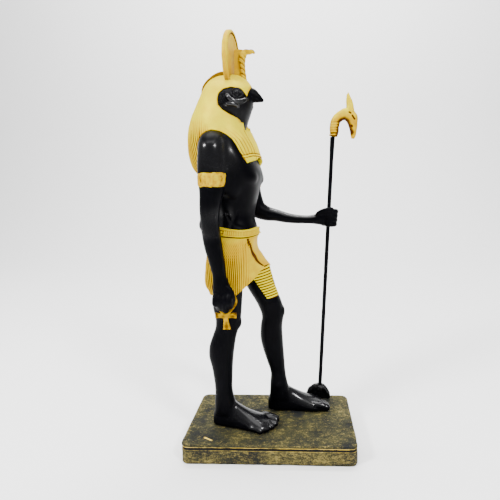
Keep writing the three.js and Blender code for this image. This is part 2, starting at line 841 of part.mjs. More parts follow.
const group = new THREE.Group();
function place(name, part, finish) {
  const mesh = part.getMesh();
  const geometry = new THREE.BufferGeometry();
  geometry.setAttribute("position", new THREE.BufferAttribute(new Float32Array(mesh.vertProperties), 3));
  geometry.setIndex(new THREE.BufferAttribute(new Uint32Array(mesh.triVerts), 1));
  geometry.computeVertexNormals();
  const node = new THREE.Mesh(geometry, new THREE.MeshStandardMaterial(finish));
  node.name = name;
  group.add(node);
}

place("base", base(), STONE);
place("figure", filled(figure().subtract(rod(GAP)).subtract(ankh(GAP))), BLACK);
place("ankh", ankh(0), GOLD);
place("staff_rod", rod(0), BLACK);
place("staff_head", staffHead(), GOLD);
place("staff_foot", staffFoot(), BLACK);

export default group;
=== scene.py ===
import math

import bpy
import numpy as np
from mathutils import Matrix, Vector


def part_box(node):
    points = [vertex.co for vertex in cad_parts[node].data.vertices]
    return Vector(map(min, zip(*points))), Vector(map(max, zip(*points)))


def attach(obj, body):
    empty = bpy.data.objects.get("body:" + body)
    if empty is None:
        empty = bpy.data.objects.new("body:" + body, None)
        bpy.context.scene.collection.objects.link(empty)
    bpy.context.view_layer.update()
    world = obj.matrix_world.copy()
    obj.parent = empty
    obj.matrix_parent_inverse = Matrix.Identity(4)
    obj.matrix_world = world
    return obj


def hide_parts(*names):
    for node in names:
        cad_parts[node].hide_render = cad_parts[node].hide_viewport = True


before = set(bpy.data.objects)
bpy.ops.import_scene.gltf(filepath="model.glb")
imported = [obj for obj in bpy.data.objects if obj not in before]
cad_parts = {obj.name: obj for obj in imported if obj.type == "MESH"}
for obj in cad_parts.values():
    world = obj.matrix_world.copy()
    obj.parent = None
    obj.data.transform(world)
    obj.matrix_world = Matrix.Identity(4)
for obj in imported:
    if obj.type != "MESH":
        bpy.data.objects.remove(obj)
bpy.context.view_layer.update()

bl_info = {
    "name": "Falcon-headed god figurine",
    "version": (1, 0, 0),
    "blender": (4, 5, 0),
    "location": "3D View > Sidebar > Figurine",
    "description": "Fine meshes, finishes, stage and camera for a striding falcon-headed god on a plinth",
    "category": "Object",
}

MM = 0.001


def in_mm(node):
    """Lowest and highest corner of a solid of the frame, in millimetres."""
    low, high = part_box(node)
    return np.array(low) / MM, np.array(high) / MM


BASE_LOW, BASE_HIGH = in_mm("base")
ROD_LOW, ROD_HIGH = in_mm("staff_rod")
ANKH_LOW, ANKH_HIGH = in_mm("ankh")
SOLE = in_mm("figure")[0][2]
CROWN = in_mm("figure")[1][2]
STAFF_Y = (ROD_LOW[1] + ROD_HIGH[1]) / 2
ANKH_Y = (ANKH_LOW[1] + ANKH_HIGH[1]) / 2

# Driving sizes of the figure, in millimetres and degrees.
BODY_X = -24
BODY_TURN = -5
BASE_CORNER = 5
BASE_RIM = 2.3
BASE_GROOVE = 1.7
DISC_RADIUS = 18.7
DISC_THICK = 4
DISC_X = -23.6
DISC_TURN = -2
DISC_DROP = 1.1
KILT_TOP = 158.6
KILT_HEM = 118.5
KILT_FRONT = 133
KILT_SQUARE = 2.25
WRAP_BACK = -150
BELT_FOOT = 158.2
BELT_TALL = 7.3
BELT_SQUEEZE = 0.86
BELT_DIP = 1.3
PLEATS_TURN_IN = 118
PLEAT_PER_DEGREE = 0.4
FORK_X = 38
ROD_RADIUS = 1.6
ROD_SWELL = 1.2
BADGE_ANGLE = 101
BADGE_UP = 4.2
PANEL_FOOT = 108.6
PANEL_SLOPE = 0.22
PANEL_PITCH = 1.9
SHARP_FROM = 50
HASH_PRIMES = (73856093, 19349663, 83492791)
HASH_FACTOR = 1274126177
EYE_X = -16.2
EYE_Z = 254.9

# Plinth profile from the sole up: height, how far out, mark.
BASE_SOLE = [[0.05, -1.1, 0], [0.35, -0.35, 0.3], [1, 0, 0.2]]
# The same over the groove's lower edge, over its upper edge and over the top.
GROOVE_FOOT = [[-0.45, 0, 0.3], [-0.3, 0, 1.2], [-0.1, -0.25, 1.35], [0.05, -0.9, -1], [0.3, -1.35, -1]]
GROOVE_LIP = [[-0.25, -1.4, -1], [0, -1, -1], [0.1, -0.25, 2], [0.5, 0, 2], [0.7, 0, 0.3], [1.2, 0, 0.1]]
BASE_TOP = [[-0.55, 0, 0.2], [-0.15, -0.2, 0.6], [-0.02, -0.7, 0.4]]
# A fleck of gold paint on the top, in metres.
FLECK_START, FLECK_END, FLECK_HALF = (-0.0475, -0.0272), (-0.0399, -0.0313), 0.0008

# Body rows: height, front x, back x, middle y, half width, squareness.
TORSO = [
    [156, -9, -41.4, 0, 20, 2.3],
    [164, -8.4, -38.6, 0, 18.8, 2.3],
    [171, -10, -38, 0, 17.1, 2.3],
    [180, -9, -38.6, 0, 19.2, 2.4],
    [189, -6.8, -40, 0, 22, 2.5],
    [195, -5.6, -41, 0, 24.6, 2.5],
    [201, -3.8, -42, 0, 27, 2.5],
    [210, -6.4, -43, 0, 29, 2.5],
    [220, -11, -42, 0, 28.6, 2.4],
    [226.5, -13, -39.5, 0, 25.6, 2.3],
    [230.4, -14, -37, 0, 20, 2.2],
    [233.5, -14.5, -35.5, 0, 12, 2.1],
    [239, -13.5, -35, 0, 9.6, 2.1],
    [247, -12, -34, 0, 10, 2.1],
]
RIGHT_LEG = [
    [146, -18, -38.6, -11.5, 10.4, 2.2],
    [128, -18, -38.8, -12, 10.8, 2.2],
    [117, -18.6, -40, -12, 10.8, 2.2],
    [107, -19.3, -40, -12.2, 9.8, 2.2],
    [99, -20.1, -38.5, -12.3, 8.8, 2.2],
    [93, -21.3, -38.6, -12.4, 8.3, 2.3],
    [86, -23.6, -41, -12.5, 8.2, 2.2],
    [78, -25.2, -43.7, -12.6, 8.5, 2.2],
    [71, -26.3, -44.3, -12.5, 8.3, 2.2],
    [62, -27.2, -42.6, -12.3, 7.2, 2.2],
    [52, -27.8, -41.4, -12, 6.2, 2.2],
    [42, -28, -41.1, -11.4, 5.9, 2.2],
    [35, -26.6, -41.8, -10.8, 6.4, 2.2],
    [25, -24, -42, -10.4, 6, 2.2],
]
LEFT_LEG = [
    [146, -11, -32, 10.5, 10, 2.2],
    [138, -6.8, -28.6, 10.8, 10.8, 2.2],
    [130, -1, -24.5, 11.2, 11.3, 2.2],
    [121, 2.8, -20.2, 11.6, 11, 2.2],
    [113, 4.9, -16, 12, 10.4, 2.2],
    [106, 7.9, -12, 12.3, 9.6, 2.2],
    [100, 9.5, -9.2, 12.6, 8.9, 2.2],
    [94, 9.9, -7.3, 12.8, 8.5, 2.3],
    [85, 8.7, -8.4, 13, 8.4, 2.2],
    [75, 8.9, -8.7, 13.2, 8.4, 2.2],
    [67, 9.3, -7.2, 13.4, 7.8, 2.2],
    [56, 10, -4, 13.6, 6.6, 2.2],
    [45, 10.8, -1.2, 13.8, 5.9, 2.2],
    [38, 12, -1.8, 13.8, 6.3, 2.2],
    [25, 16, -2.6, 14, 6, 2.2],
]
RIGHT_ARM = [
    [229.4, -30.5, -37, -23.8, 2.6, 2],
    [226.6, -26.8, -40.2, -25.2, 6, 2.1],
    [223, -25.3, -42, -26.2, 8.9, 2.1],
    [218.6, -24.6, -42.7, -27.2, 10.4, 2.1],
    [213.5, -24.2, -42.9, -27.6, 10.5, 2.1],
    [208, -24.2, -43.4, -28, 9.7, 2.1],
    [200, -25.3, -43.4, -28.3, 8.6, 2.1],
    [188, -27, -42.7, -28.4, 7.8, 2.2],
    [179, -29.4, -43, -28.5, 7, 2.2],
    [170, -30.4, -42.8, -28.5, 6.5, 2.2],
    [162, -29.8, -42.2, -28.4, 6.4, 2.2],
    [152, -28.8, -40.8, -28.1, 6.2, 2.2],
    [142, -27.8, -38.3, -27.7, 5.4, 2.2],
    [133, -27, -36.4, -27.3, 4.9, 2.2],
    [127, -25.2, -36.5, -27, 5.4, 2.3],
    [120, -23.6, -36.7, -26.8, 5.6, 2.4],
    [113, -23.8, -36.2, -26.6, 5.6, 2.4],
    [108.6, -26, -34, -26.6, 4, 2.2],
]
# Left arm rows: x, y, height, half across, half along Y.
LEFT_ARM = [
    [-23, 25, 228.6, 3.2, 3.4],
    [-21.6, 27, 224, 8, 7.6],
    [-19.2, 28.3, 211, 9.2, 9],
    [-17.8, 28.6, 202, 9.1, 9],
    [-16.3, 28.8, 193, 8.5, 8.2],
    [-14.2, 29, 184, 7.9, 7.2],
    [-10.6, 29.2, 176.6, 7.2, 6.6],
    [-4, 29.4, 172.9, 6, 6],
    [4, 29.6, 171.2, 4.9, 5.5],
    [13, 29.8, 168.9, 4.1, 5],
    [23, 30.1, 167.6, 3.5, 4.5],
    [32, 30.3, 167.3, 3.5, 4.2],
    [38, 30.4, 167.6, 4.6, 4.6],
    [43, 30.6, 168.2, 6.4, 5.2],
    [48.5, 30.8, 168.3, 6.4, 4.8],
    [51, 30.8, 168.2, 4.8, 3.2],
]
# Foot rows: distance from the heel, inner edge, outer edge, height over the sole.
FOOT = [
    [0, 2.4, -2.4, 8],
    [2, 4.8, -4.6, 13.5],
    [6, 6.2, -6, 20],
    [13, 6.6, -6.8, 20.5],
    [20, 6.8, -8, 16.5],
    [27, 7.6, -9.6, 12.6],
    [34, 8.8, -11.4, 9.6],
    [39, 9.2, -11.6, 7.6],
    [43, 8, -9.5, 5.8],
]
# Toe rows: tip distance, tip offset, root distance, root offset, radius.
TOES = [
    [49.8, 5.6, 36, 5.6, 3.2],
    [49.6, 0.6, 36, 1.2, 2.4],
    [47.6, -3.6, 35, -2.6, 2.3],
    [44.4, -7.4, 33, -6.2, 2.2],
    [40.4, -10.8, 30, -9.2, 2.2],
]
# Where each foot stands: heel x and y, angle, 1 where its inner side lies towards +Y.
RIGHT_FOOT = (-43.6, -8.2, -6.5, 1)
LEFT_FOOT = (-3.8, 14.6, 1.5, -1)
SOLE_EDGE = 2.6
# The hanging fist. A finger's path: y, height, share of its rise; then x and rise of each finger.
RIGHT_FINGER = [[-31, 121, 0], [-32.2, 114.6, 0], [-29.4, 109.6, 1], [-24.8, 110, 1], [-22.6, 115, 0]]
RIGHT_FINGERS = [[-34.2, 4.6], [-31, 1.6], [-27.8, -0.6], [-24.7, 2.4]]
# Its thumb's path, and the centre and radii of its palm.
RIGHT_THUMB = [[-26, -29.5, 126], [-23.6, -29.8, 120.5], [-23.2, -28.4, 115.6], [-25, -26, 112.2]]
RIGHT_PALM = [(-30.2, -27, 119), (6.6, 5.6, 7.4)]
# The fist on the staff. A finger's path: x, y; the lowest one's height, the steps up and ahead; the thumb.
LEFT_FINGER = [[41, 34.6], [46.4, 35.6], [51, 32.6], [50.4, 28], [46.4, 25.8], [43, 27]]
LEFT_LOWEST, LEFT_STEP, LEFT_LEAN = 163.3, 3.35, 0.35
LEFT_THUMB = [[36.5, 28.6, 171], [41.6, 26.4, 173.6], [46.6, 25.6, 174.9], [49.8, 27.2, 175.2]]
# Rounded masses under the skin: centre and radii.
TORSO_MASSES = [
    [(x, side * y, z), radii]
    for x, y, z, radii in (
        (-12.4, 11.5, 199.6, (8.2, 11.5, 7)),
        (-37.6, 13, 206, (5.4, 8, 11)),
        (-21, 19, 202, (9.5, 9.5, 18)),
    )
    for side in (-1, 1)
]
LIMB_MASSES = [
    [(-22.7, -12.3, 96), (3, 5, 5.4)],
    [(7.9, 12.8, 96.6), (3, 5, 5.4)],
    [(-34.6, -14.6, 33.6), (2.6, 2.3, 3)],
    [(-33.4, -5.6, 36), (3, 2.6, 3.6)],
    [(4.6, 9.3, 36.6), (3.2, 2.7, 3.8)],
    [(4.4, 18.6, 34.4), (3.2, 2.7, 3.8)],
    [(-41.2, -28.6, 167.6), (2.7, 3.2, 4.4)],
    [(-16.6, 29, 176.8), (3.6, 3.4, 4.2)],
]
SKULL = [
    [231, -17.4, -33, 0, 8, 2.1],
    [236, -13.8, -38, 0, 13, 2.1],
    [240, -12.6, -44, 0, 17, 2.1],
    [245, -10.8, -47, 0, 20, 2.1],
    [250, -9.2, -45.5, 0, 19.4, 2.1],
    [255, -8.4, -44.4, 0, 18, 2.1],
    [259, -8.6, -42.5, 0, 15.4, 2.1],
    [263, -10, -39, 0, 11.8, 2.1],
    [267, -15, -33, 0, 6.5, 2],
]
# Path rows in the middle plane: x, height, half across, half along Y.
BEAK = [
    [-13, 256.6, 5.4, 6.8],
    [-9.4, 256.3, 5.1, 5.2],
    [-6.6, 255.1, 3.9, 3.8],
    [-4.4, 254, 2.8, 2.7],
    [-2.6, 253.1, 1.7, 1.6],
    [-1.2, 252.3, 0.8, 0.7],
]
# Rings round the eye: radius, half thickness.
EYE_RINGS = [[3.3, 0.55], [1.9, 0.45]]
# Curved ridges under the eye: x, height.
CHEEK = [[-22.6, 253.4], [-21.2, 251.2], [-19.2, 249.8], [-16.6, 249.2], [-13.6, 250], [-11.2, 252]]
CHEEK_FOLD = [[-23.4, 246.8], [-21, 247.4], [-18.4, 247.4], [-16, 246.4]]
# Folds of the skin over the near hip: x, height.
HIP_FOLDS = [
    [[-18.6, 176], [-22, 170.1], [-24.6, 164.6]],
    [[-27.5, 174.3], [-24.8, 169.4], [-21, 166.2], [-14.6, 164]],
]
# Headdress rows: height, middle x, front and back depth, half width of the front and of the back, squareness.
CLOTH = [
    [270.9, -26, 1.2, 1.2, 0.8, 0.8, 2],
    [270.6, -26, 6, 6, 3, 3, 2],
    [268.4, -26.2, 11.8, 11.8, 7.3, 7.6, 2],
    [265, -26.2, 15.2, 15.2, 10.8, 11.4, 2.1],
    [260.6, -26.3, 17.7, 17.7, 15.2, 15.4, 2.2],
    [254, -27.4, 19.4, 19.4, 18.8, 18.8, 2.2],
    [247.5, -28, 19, 22, 21, 21, 2.2],
    [241, -28, 16.2, 25.2, 22.4, 22, 2.2],
    [236, -27.8, 15.8, 27, 23.2, 23, 2.15],
    [230, -27, 17, 29.3, 24.2, 23.2, 2.1],
    [223, -25.6, 18.8, 31.3, 27.4, 22.4, 2.05],
    [216, -24.6, 20, 32, 28.6, 20.4, 2],
    [210.4, -24, 20.6, 31.6, 29.4, 17.8, 2],
    [204, -24, 20.6, 28.2, 29.4, 13.8, 2],
    [200, -24, 20.6, 24, 29.4, 10.5, 2],
]
# Where the cloth ends below: angle from the front, height.
HEM = [
    [0, 214], [13, 213.4], [20, 211.6], [22.8, 211.4], [23.2, 211.2], [32, 210.4],
    [41, 209.2], [45, 208.4], [50, 211], [57, 215.8], [61, 219.6], [67, 223.6],
    [76, 226.4], [85, 228.2], [92, 229.3], [100, 230.1], [108, 229.6], [114, 228.2],
    [122, 225.4], [128, 220], [132, 213], [137, 206], [146, 203], [160, 202],
    [180, 201.8],
]
# The seam between a lappet and the middle of the front, and the lappet's outer edge: height, angle.
SEAM = [[208, 23], [218, 22], [222, 25], [226.6, 29], [231, 30.5]]
LAPPET_OUT = [[z, angle] for angle, z in HEM if angle in (45, 50, 57, 61, 67, 76, 85, 100)]
# The raised band at a lappet's end: angle, height of its upper edge.
LAPPET_BAND = [[0, 215.7], [23, 215.3], [31, 215.1], [41, 214.1], [50, 213.2]]
# Half the angle of the open throat: height, angle.
THROAT = [[231.2, 29], [234, 28], [237, 28], [240, 31], [246, 46]]
# Path rows in the middle plane: x, height, half across, half along Y.
RIDGE = [
    [-25, 270, 3.2, 3],
    [-31, 270.3, 3.2, 3],
    [-37, 267.6, 3.2, 3],
    [-42.4, 262.4, 2.8, 3],
    [-45, 256.6, 1.2, 2.4],
]
# Side outline of the face opening in the headdress: x, height.
FACE_OPENING = [
    [-29, 250.6], [-28.4, 254.6], [-25.4, 257.6], [-20.6, 259], [-15.6, 258.4],
    [-12.6, 256.4], [-10.8, 253.6], [-9.8, 258.6], [-8.6, 263], [4, 264], [4, 236],
    [-15, 236], [-16.4, 238.4], [-21, 240.4], [-25.6, 243.4], [-28.4, 246.6],
]
# Path rows in the middle plane: x, height, half across, half along Y.
COBRA = [
    [-14.4, 262, 2.2, 3],
    [-14.8, 268, 2, 3.1],
    [-15.3, 272.4, 1.9, 3.1],
    [-15.6, 276.6, 1.9, 3.5],
    [-15.7, 280.6, 2.2, 3.9],
    [-15, 283.8, 2.5, 3.3],
    [-13, 285.6, 1.8, 2.4],
    [-10.4, 285.5, 1.4, 2.4],
    [-8.4, 285.7, 1.2, 1.9],
    [-6.8, 284.6, 0.7, 0.9],
]
# The web of metal between the disc and the cobra: x, height.
COBRA_WEB = [[-21, 262], [-15.4, 262], [-16.2, 276], [-16, 283], [-13.6, 286.6], [-18.4, 287.6], [-21, 287]]
# Disc profile: inset, height over the back for its edge there and depth under the face for its lip, mark.
DISC_BACK = [[1.4, 0, 0.2], [0.5, 0.3, 0.3], [0.1, 0.8, 0.3]]
DISC_LIP = [
    [0.1, 0.6, 0.3], [0.6, 0.1, 0.5], [1.5, 0, 0.3], [2, 0.3, -0.6], [2.4, 0.8, -1],
    [2.9, 0.7, -0.3], [4, 0.4, 0.2],
]
# Kilt rows: share of the drop, front x, back x, half width, shear.
KILT = [
    [0, -7.4, -42.2, 22, 0],
    [0.3, -8, -41.8, 24.4, 0.12],
    [0.62, -6.2, -40.6, 26, 0.27],
    [1, -1.8, -34.8, 26.6, 0.4],
]
# Where the pleat lines on the near side are darker: x, height, reach along and up.
DARKER_PLEATS_SPOT = (-28, 131, 3.5, 8)
# Where the near panel of the kilt ends: share of the drop, angle from the front.
WRAP = [[0, -46], [0.07, -42], [0.23, -30], [0.49, -18.5], [0.74, -10], [0.88, -1.5], [1, 7.5]]
# How far the cloth over the left thigh lies behind the oval of its row: share of the drop, distance.
DRAWN_IN = [[0, 0], [0.2, 1.6], [0.5, 2.4], [1, 3.2]]
# The belt's front x, back x and half width at its lower and its upper edge.
BELT_ENDS = [[-7.2, -42.2, 21.8], [-8, -41, 19.6]]
# Belt profile: distance up, how far out.
BELT = [[0, 0.2], [1.4, 0.3], [1.6, 1.6], [2.4, 1.6], [2.5, 1], [5.9, 1], [6.1, 1.6], [7, 1.6], [7.3, -1]]
# Side outline of the thigh panel: x, height.
PANEL_OUTLINE = [
    [-9.2, 134.5], [-0.2, 134.5], [3.2, 120.5], [6.4, 111.6], [5.4, 110.4],
    [1.8, 109.6], [-1.9, 109.6], [-11.3, 124.8], [-11.3, 129],
]
# The ankh: middle x, height of the crossbar and of the loop's top, half width of the loop.
ANKH_X, ANKH_BAR, ANKH_TOP, ANKH_LOOP = -28.4, 104.3, 122.5, 7.2
# Half of its crossbar: reach, rise, half height; and its stem: height, shift, half width.
ANKH_ARM = [[-0.6, 0.1, 1.7], [3.5, 0.3, 1.4], [7.4, 0.5, 1.9]]
ANKH_STEM = [[104.3, 0, 1.5], [100, 0.1, 1.7], [94.9, 0.5, 2.6]]
SQUARE_CORNERS = ((-1, -1), (-1, 1), (1, 1), (1, -1))
RIGHT_ARMLET = [[201.4, -25.2, -42.7, -28.3, 9, 2.1], [192.3, -26.8, -42.3, -28.4, 8.2, 2.1]]
LEFT_ARMLET = [[-17.8, 28.6, 201.8, 9.1, 9], [-16.2, 28.8, 192.2, 8.4, 8.2]]
# Staff head rows: x, height, half across, half along Y; and the ring where the head sits on the rod.
NECK = [
    [50.3, 231.9, 3, 3],
    [50.8, 235, 3.5, 3.1],
    [51, 239, 3.7, 3.4],
    [52.3, 243.9, 3.7, 3.6],
    [56.4, 247.6, 3.9, 3.7],
    [60.4, 248.6, 4.6, 3.9],
    [63.8, 246.2, 4.9, 3.9],
    [65.3, 240.8, 3.7, 3.2],
    [65.7, 235.6, 2.6, 2.5],
    [65.6, 231.9, 1.9, 2],
    [65.3, 229.9, 1.2, 1.3],
]
RING_X, RING_Z, RING_RADIUS = 50.1, 232.9, 2.6
# Ear rows: x, distance from the middle, height, half across, half along Y.
EAR = [
    [63, 2, 250, 3.2, 1.6],
    [62.9, 2.3, 255, 2.5, 1.3],
    [61.9, 2.5, 259.6, 1.7, 1],
    [61.2, 2.6, 264, 0.4, 0.4],
]
# Eye and cheek of the animal: x, distance from the middle, height, and radii.
FACE_BUMPS = [[63.2, 3.4, 247.4, (1.2, 0.7, 0.9)], [65.4, 2.5, 243, (1.1, 0.7, 0.8)]]
# Dark strokes on the animal's face: x, height.
EYE_STROKES = [
    [[62, 249.4], [63.2, 248.6]],
    [[64.5, 246.8], [65.2, 245.4], [66.3, 244.2]],
    [[63.9, 239.4], [64.3, 238.8]],
]
# The shaded hollow under the animal's neck: x, height.
NECK_ARCH = [[54.3, 233], [54.7, 238.4], [55.8, 242.5], [58.1, 244], [60.4, 242.4], [62, 239], [63.4, 234]]
# Prong rows: distance from the middle, height, half across, half along Y; and the plate between the prongs.
PRONG = [
    [0, 26, 2.4, 2.3],
    [3.4, 25, 2.3, 2.3],
    [6.6, 22.2, 2.1, 2.2],
    [8.4, 18.4, 1.9, 2.1],
    [8.6, 15, 1.8, 2],
]
COLLAR = [[38.4, 22.6, 2.9, 2.7], [38.6, 25.6, 3.2, 2.8], [38.9, 27.7, 2.6, 2.6]]
WEB = [[30.6, 15], [30.6, 20], [34, 24], [42, 24], [44.4, 20], [44.4, 15]]

# Camera of the reference view, in metres and degrees: place; turn to the left, downwards and sideways.
CAMERA_PLACE = (0.0237, -0.2929, 0.1841)
CAMERA_TURN = (2.97, 7.29, -0.95)
# Lights: name, place, target, width and length, power in watts.
CHEST = (-0.02, 0, 0.17)
LIGHTS = [
    ["left_softbox", (-0.52, -0.38, 0.62), CHEST, (0.12, 0.12), 9],
    ["right_softbox", (0.44, -0.5, 0.7), CHEST, (0.12, 0.12), 8],
    ["top_softbox", (-0.02, -0.14, 1.0), CHEST, (0.7, 0.7), 7],
    ["wall_light", (0, 0.45, 1.5), (0, 1.2, 0.35), (1.2, 0.2), 42],
]


# Sizes and colours that a user would change.
def length(name, description, default):
    return bpy.props.FloatProperty(name=name, description=description, default=default, unit="LENGTH")


class StatueSizes(bpy.types.PropertyGroup):
    body_voxel: length("Body skin", "Mesh size of the black body", 0.00075)
    head_voxel: length("Head skin", "Mesh size of the falcon head and small castings", 0.00032)
    pleat_pitch: length("Pleat pitch", "Distance from one kilt pleat to the next", 0.00135)
    pleat_depth: length("Pleat depth", "Depth of a kilt pleat", 0.00034)
    stripe_depth: length("Stripe depth", "Depth of the lines carved in the headdress", 0.00045)
    plinth_wear: length("Plinth wear", "Height of the uneven casting of the plinth", 0.0003)


def chosen(size):
    """One of the user's sizes, in millimetres."""
    return getattr(bpy.context.scene.statue_sizes, size) / MM


def colour(name, description, default):
    return bpy.props.FloatVectorProperty(
        name=name, description=description, default=default, size=3, subtype="COLOR", min=0, max=1
    )


class StatueColours(bpy.types.PropertyGroup):
    black: colour("Black", "Gloss black of the body", (0.0008, 0.0008, 0.0014))
    # Pale and deep gold are mixed by the relief: pale on worn, raised places and for painted highlight, deep
    # in lower places and for painted shade.
    gold_pale: colour("Pale gold", "Gold paint where it is thick and worn bright", (0.62, 0.53, 0.0))
    gold_deep: colour("Deep gold", "Gold paint in the lower places", (0.46, 0.26, 0.0))
    # The hollow colour is the antiquing in carved lines and also the colour of painted shade.
    gold_wash_and_shade: colour("Hollows", "Dark wash left in the carved lines", (0.05, 0.014, 0.002))
    stone_dark: colour("Plinth dark", "Charcoal ground of the plinth", (0.009, 0.01, 0.011))
    stone_olive: colour("Plinth olive", "Olive patina of the plinth", (0.034, 0.034, 0.016))
    stone_gold: colour("Plinth gold", "Dry-brushed gold on the plinth", (0.34, 0.26, 0.07))
    edge_gold: colour("Worn edge", "Gold on the plinth's worn edges", (0.75, 0.52, 0.08))
    floor: colour("Floor", "Pale floor and backdrop", (0.92, 0.92, 0.92))


# Numbers
def lerp(a, b, t):
    return a + (b - a) * t


def smooth(value, low, high):
    """Soft step from 0 at low to 1 at high."""
    t = np.clip((value - low) / (high - low), 0, 1)
    return t * t * (3 - 2 * t)


def window(value, start, full, fade, end):
    """1 from full to fade, soft steps beside it and 0 before start and after end."""
    return smooth(value, start, full) * smooth(value, end, fade)


def groove(turns, width):
    """1 in the middle of each groove of a pattern with one groove a turn, 0 on the lands."""
    return 1 - smooth(np.abs(turns - np.round(turns)), 0, width)


def full_turn(count):
    """Angles evenly spaced round a circle."""
    return np.linspace(0, 2 * np.pi, count, endpoint=False)


def circle(count):
    """Points evenly spaced round a level circle of radius 1."""
    a = full_turn(count)
    return np.stack([np.cos(a), np.sin(a), 0 * a], 1)


def closed_circle(count):
    """Cosine and sine of angles round a circle, the first one again at the end."""
    return [(math.cos(t), math.sin(t)) for t in np.linspace(0, 2 * math.pi, count)]


def from_front(a):
    """Angle from the front in degrees, 0 to 180, on either side."""
    return np.degrees(np.where(a > np.pi, 2 * np.pi - a, a))


def cos_sin(degrees):
    return math.cos(math.radians(degrees)), math.sin(math.radians(degrees))


def power(value, square):
    """Cosine or sine bent so that an ellipse turns into a squarer one."""
    return np.sign(value) * np.abs(value) ** (2 / square)


def blend(rows, count):
    """More rows on soft curves through the given rows, evenly spaced along them."""
    rows = np.array(rows, float)
    gaps = np.linalg.norm(np.diff(rows[:, :3], axis=0), axis=1)
    along = np.concatenate([[0], np.cumsum(gaps)])
    slope = np.gradient(rows, along, axis=0)
    place = np.linspace(0, along[-1], count)
    i = np.clip(np.searchsorted(along, place, side="right") - 1, 0, len(rows) - 2)
    t = ((place - along[i]) / gaps[i])[:, None]
    here, there = rows[i], rows[i + 1]
    out, into = slope[i] * gaps[i][:, None], slope[i + 1] * gaps[i][:, None]
    still = (1 + 2 * t) * (1 - t) ** 2 * here + t * t * (3 - 2 * t) * there
    return still + t * (1 - t) ** 2 * out + t * t * (t - 1) * into


def read_straight(table, value):
    """The second column of a table read at any value of its first, on straight lines."""
    return np.interp(value, *np.array(table).T)


def read_smooth(table, value):
    """The same on soft curves."""
    return np.interp(value, *blend(table, 200).T)


def at_height(rows, z):
    """Columns of rows that fall in height, read at any height."""
    fine = blend(rows, 400)
    fine = fine[np.argsort(fine[:, 0])]
    return [np.interp(z, fine[:, 0], fine[:, k]) for k in range(1, fine.shape[1])]


def oval(a, front, back, half, square, grow=0):
    """Points round a squared oval that lies level: x, and distance from its middle along Y."""
    x = (front + back) / 2 + ((front - back) / 2 + grow) * power(np.cos(a), square)
    return x, (half + grow) * power(np.sin(a), square)


def off_lines(points, *lines):
    """Distance of each point from the nearest of some lines of corners in the side view."""
    flat = points[:, [0, 2]]
    least = np.full(len(flat), np.inf)
    for corners in (np.array(line, float) for line in lines):
        for start, end in zip(corners[:-1], corners[1:]):
            way = end - start
            t = np.clip((flat - start) @ way / (way @ way), 0, 1)
            least = np.minimum(least, np.linalg.norm(flat - start - t[:, None] * way, axis=1))
    return least


def grain(points, size, seed):
    """Smooth noise from -1 to 1 with lumps of about the given size."""
    cell = points / size + 31.7 * (seed + 1)
    base = np.floor(cell).astype(np.int64)
    part = cell - base
    part = part * part * (3 - 2 * part)
    total = np.zeros(len(cell))
    for corner in np.ndindex(2, 2, 2):
        h = np.bitwise_xor.reduce((base + corner) * HASH_PRIMES, axis=1)
        h = ((h ^ (h >> 13)) * HASH_FACTOR) & 0x7FFFFFFF
        value = ((h ^ (h >> 15)) & 0xFFFF) / 32767.5 - 1
        total += value * np.prod(np.where(corner, part, 1 - part), axis=1)
    return total


# Closed surfaces
class Form:
    """A closed surface in millimetres. Its relief is what its finish reads at each point.

    On gold and stone it says how far the point lies out of the carving, and on gold also where light and
    shade are painted; on black it says how thick the varnish is.
    """

    def __init__(self, points, faces, relief=None):
        self.points = np.asarray(points, float)
        self.faces = [tuple(face) for face in faces]
        self.relief = np.zeros(len(self.points)) if relief is None else np.asarray(relief, float)

    def turned(self):
        """Turned with the body, which faces a little towards its own right side."""
        c, s = cos_sin(BODY_TURN)
        x, y, z = self.points.T
        points = np.stack([BODY_X + (x - BODY_X) * c - y * s, (x - BODY_X) * s + y * c, z], 1)
        return Form(points, self.faces, self.relief)

    def mesh(self, name, scale=MM):
        made = bpy.data.meshes.new(name)
        made.from_pydata((self.points * scale).tolist(), [], self.faces)
        relief = made.attributes.new("relief", "FLOAT", "POINT")
        relief.data.foreach_set("value", self.relief.astype(np.float32))
        made.shade_smooth()
        made.set_sharp_from_angle(angle=math.radians(SHARP_FROM))
        return made


def joined(*forms):
    points, faces, relief, start = [], [], [], 0
    for form in forms:
        points.append(form.points)
        relief.append(form.relief)
        faces += [tuple(i + start for i in face) for face in form.faces]
        start += len(form.points)
    return Form(np.concatenate(points), faces, np.concatenate(relief))


def from_mesh(mesh):
    """The form of a Blender mesh, without its relief."""
    points = np.empty(3 * len(mesh.vertices), np.float32)
    mesh.vertices.foreach_get("co", points)
    return Form(points.reshape(-1, 3), [tuple(p.vertices) for p in mesh.polygons])


def skin(rings, relief=None):
    """Closed surface through rings of points, with a fan on each end."""
    count, around = rings.shape[:2]
    a = np.arange(count * around).reshape(count, around)
    b = np.roll(a, -1, axis=1)
    quads = np.stack([a[:-1], b[:-1], b[1:], a[1:]], -1).reshape(-1, 4).tolist()
    first, last = count * around, count * around + 1
    caps = [(j, i, first) for i, j in zip(a[0], b[0])] + [(i, j, last) for i, j in zip(a[-1], b[-1])]
    points = np.concatenate([rings.reshape(-1, 3), [rings[0].mean(0)], [rings[-1].mean(0)]])
    if relief is not None:
        relief = np.concatenate([relief.reshape(-1), [0, 0]])
    return facing_out(Form(points, quads + caps, relief))


def lathed(profile, ring_at):
    """Closed surface with one ring for each row of a profile, whose last number is the ring's relief."""
    rings = np.array([ring_at(*place) for *place, _ in profile])
    return skin(rings, np.repeat([row[-1] for row in profile], rings.shape[1]))


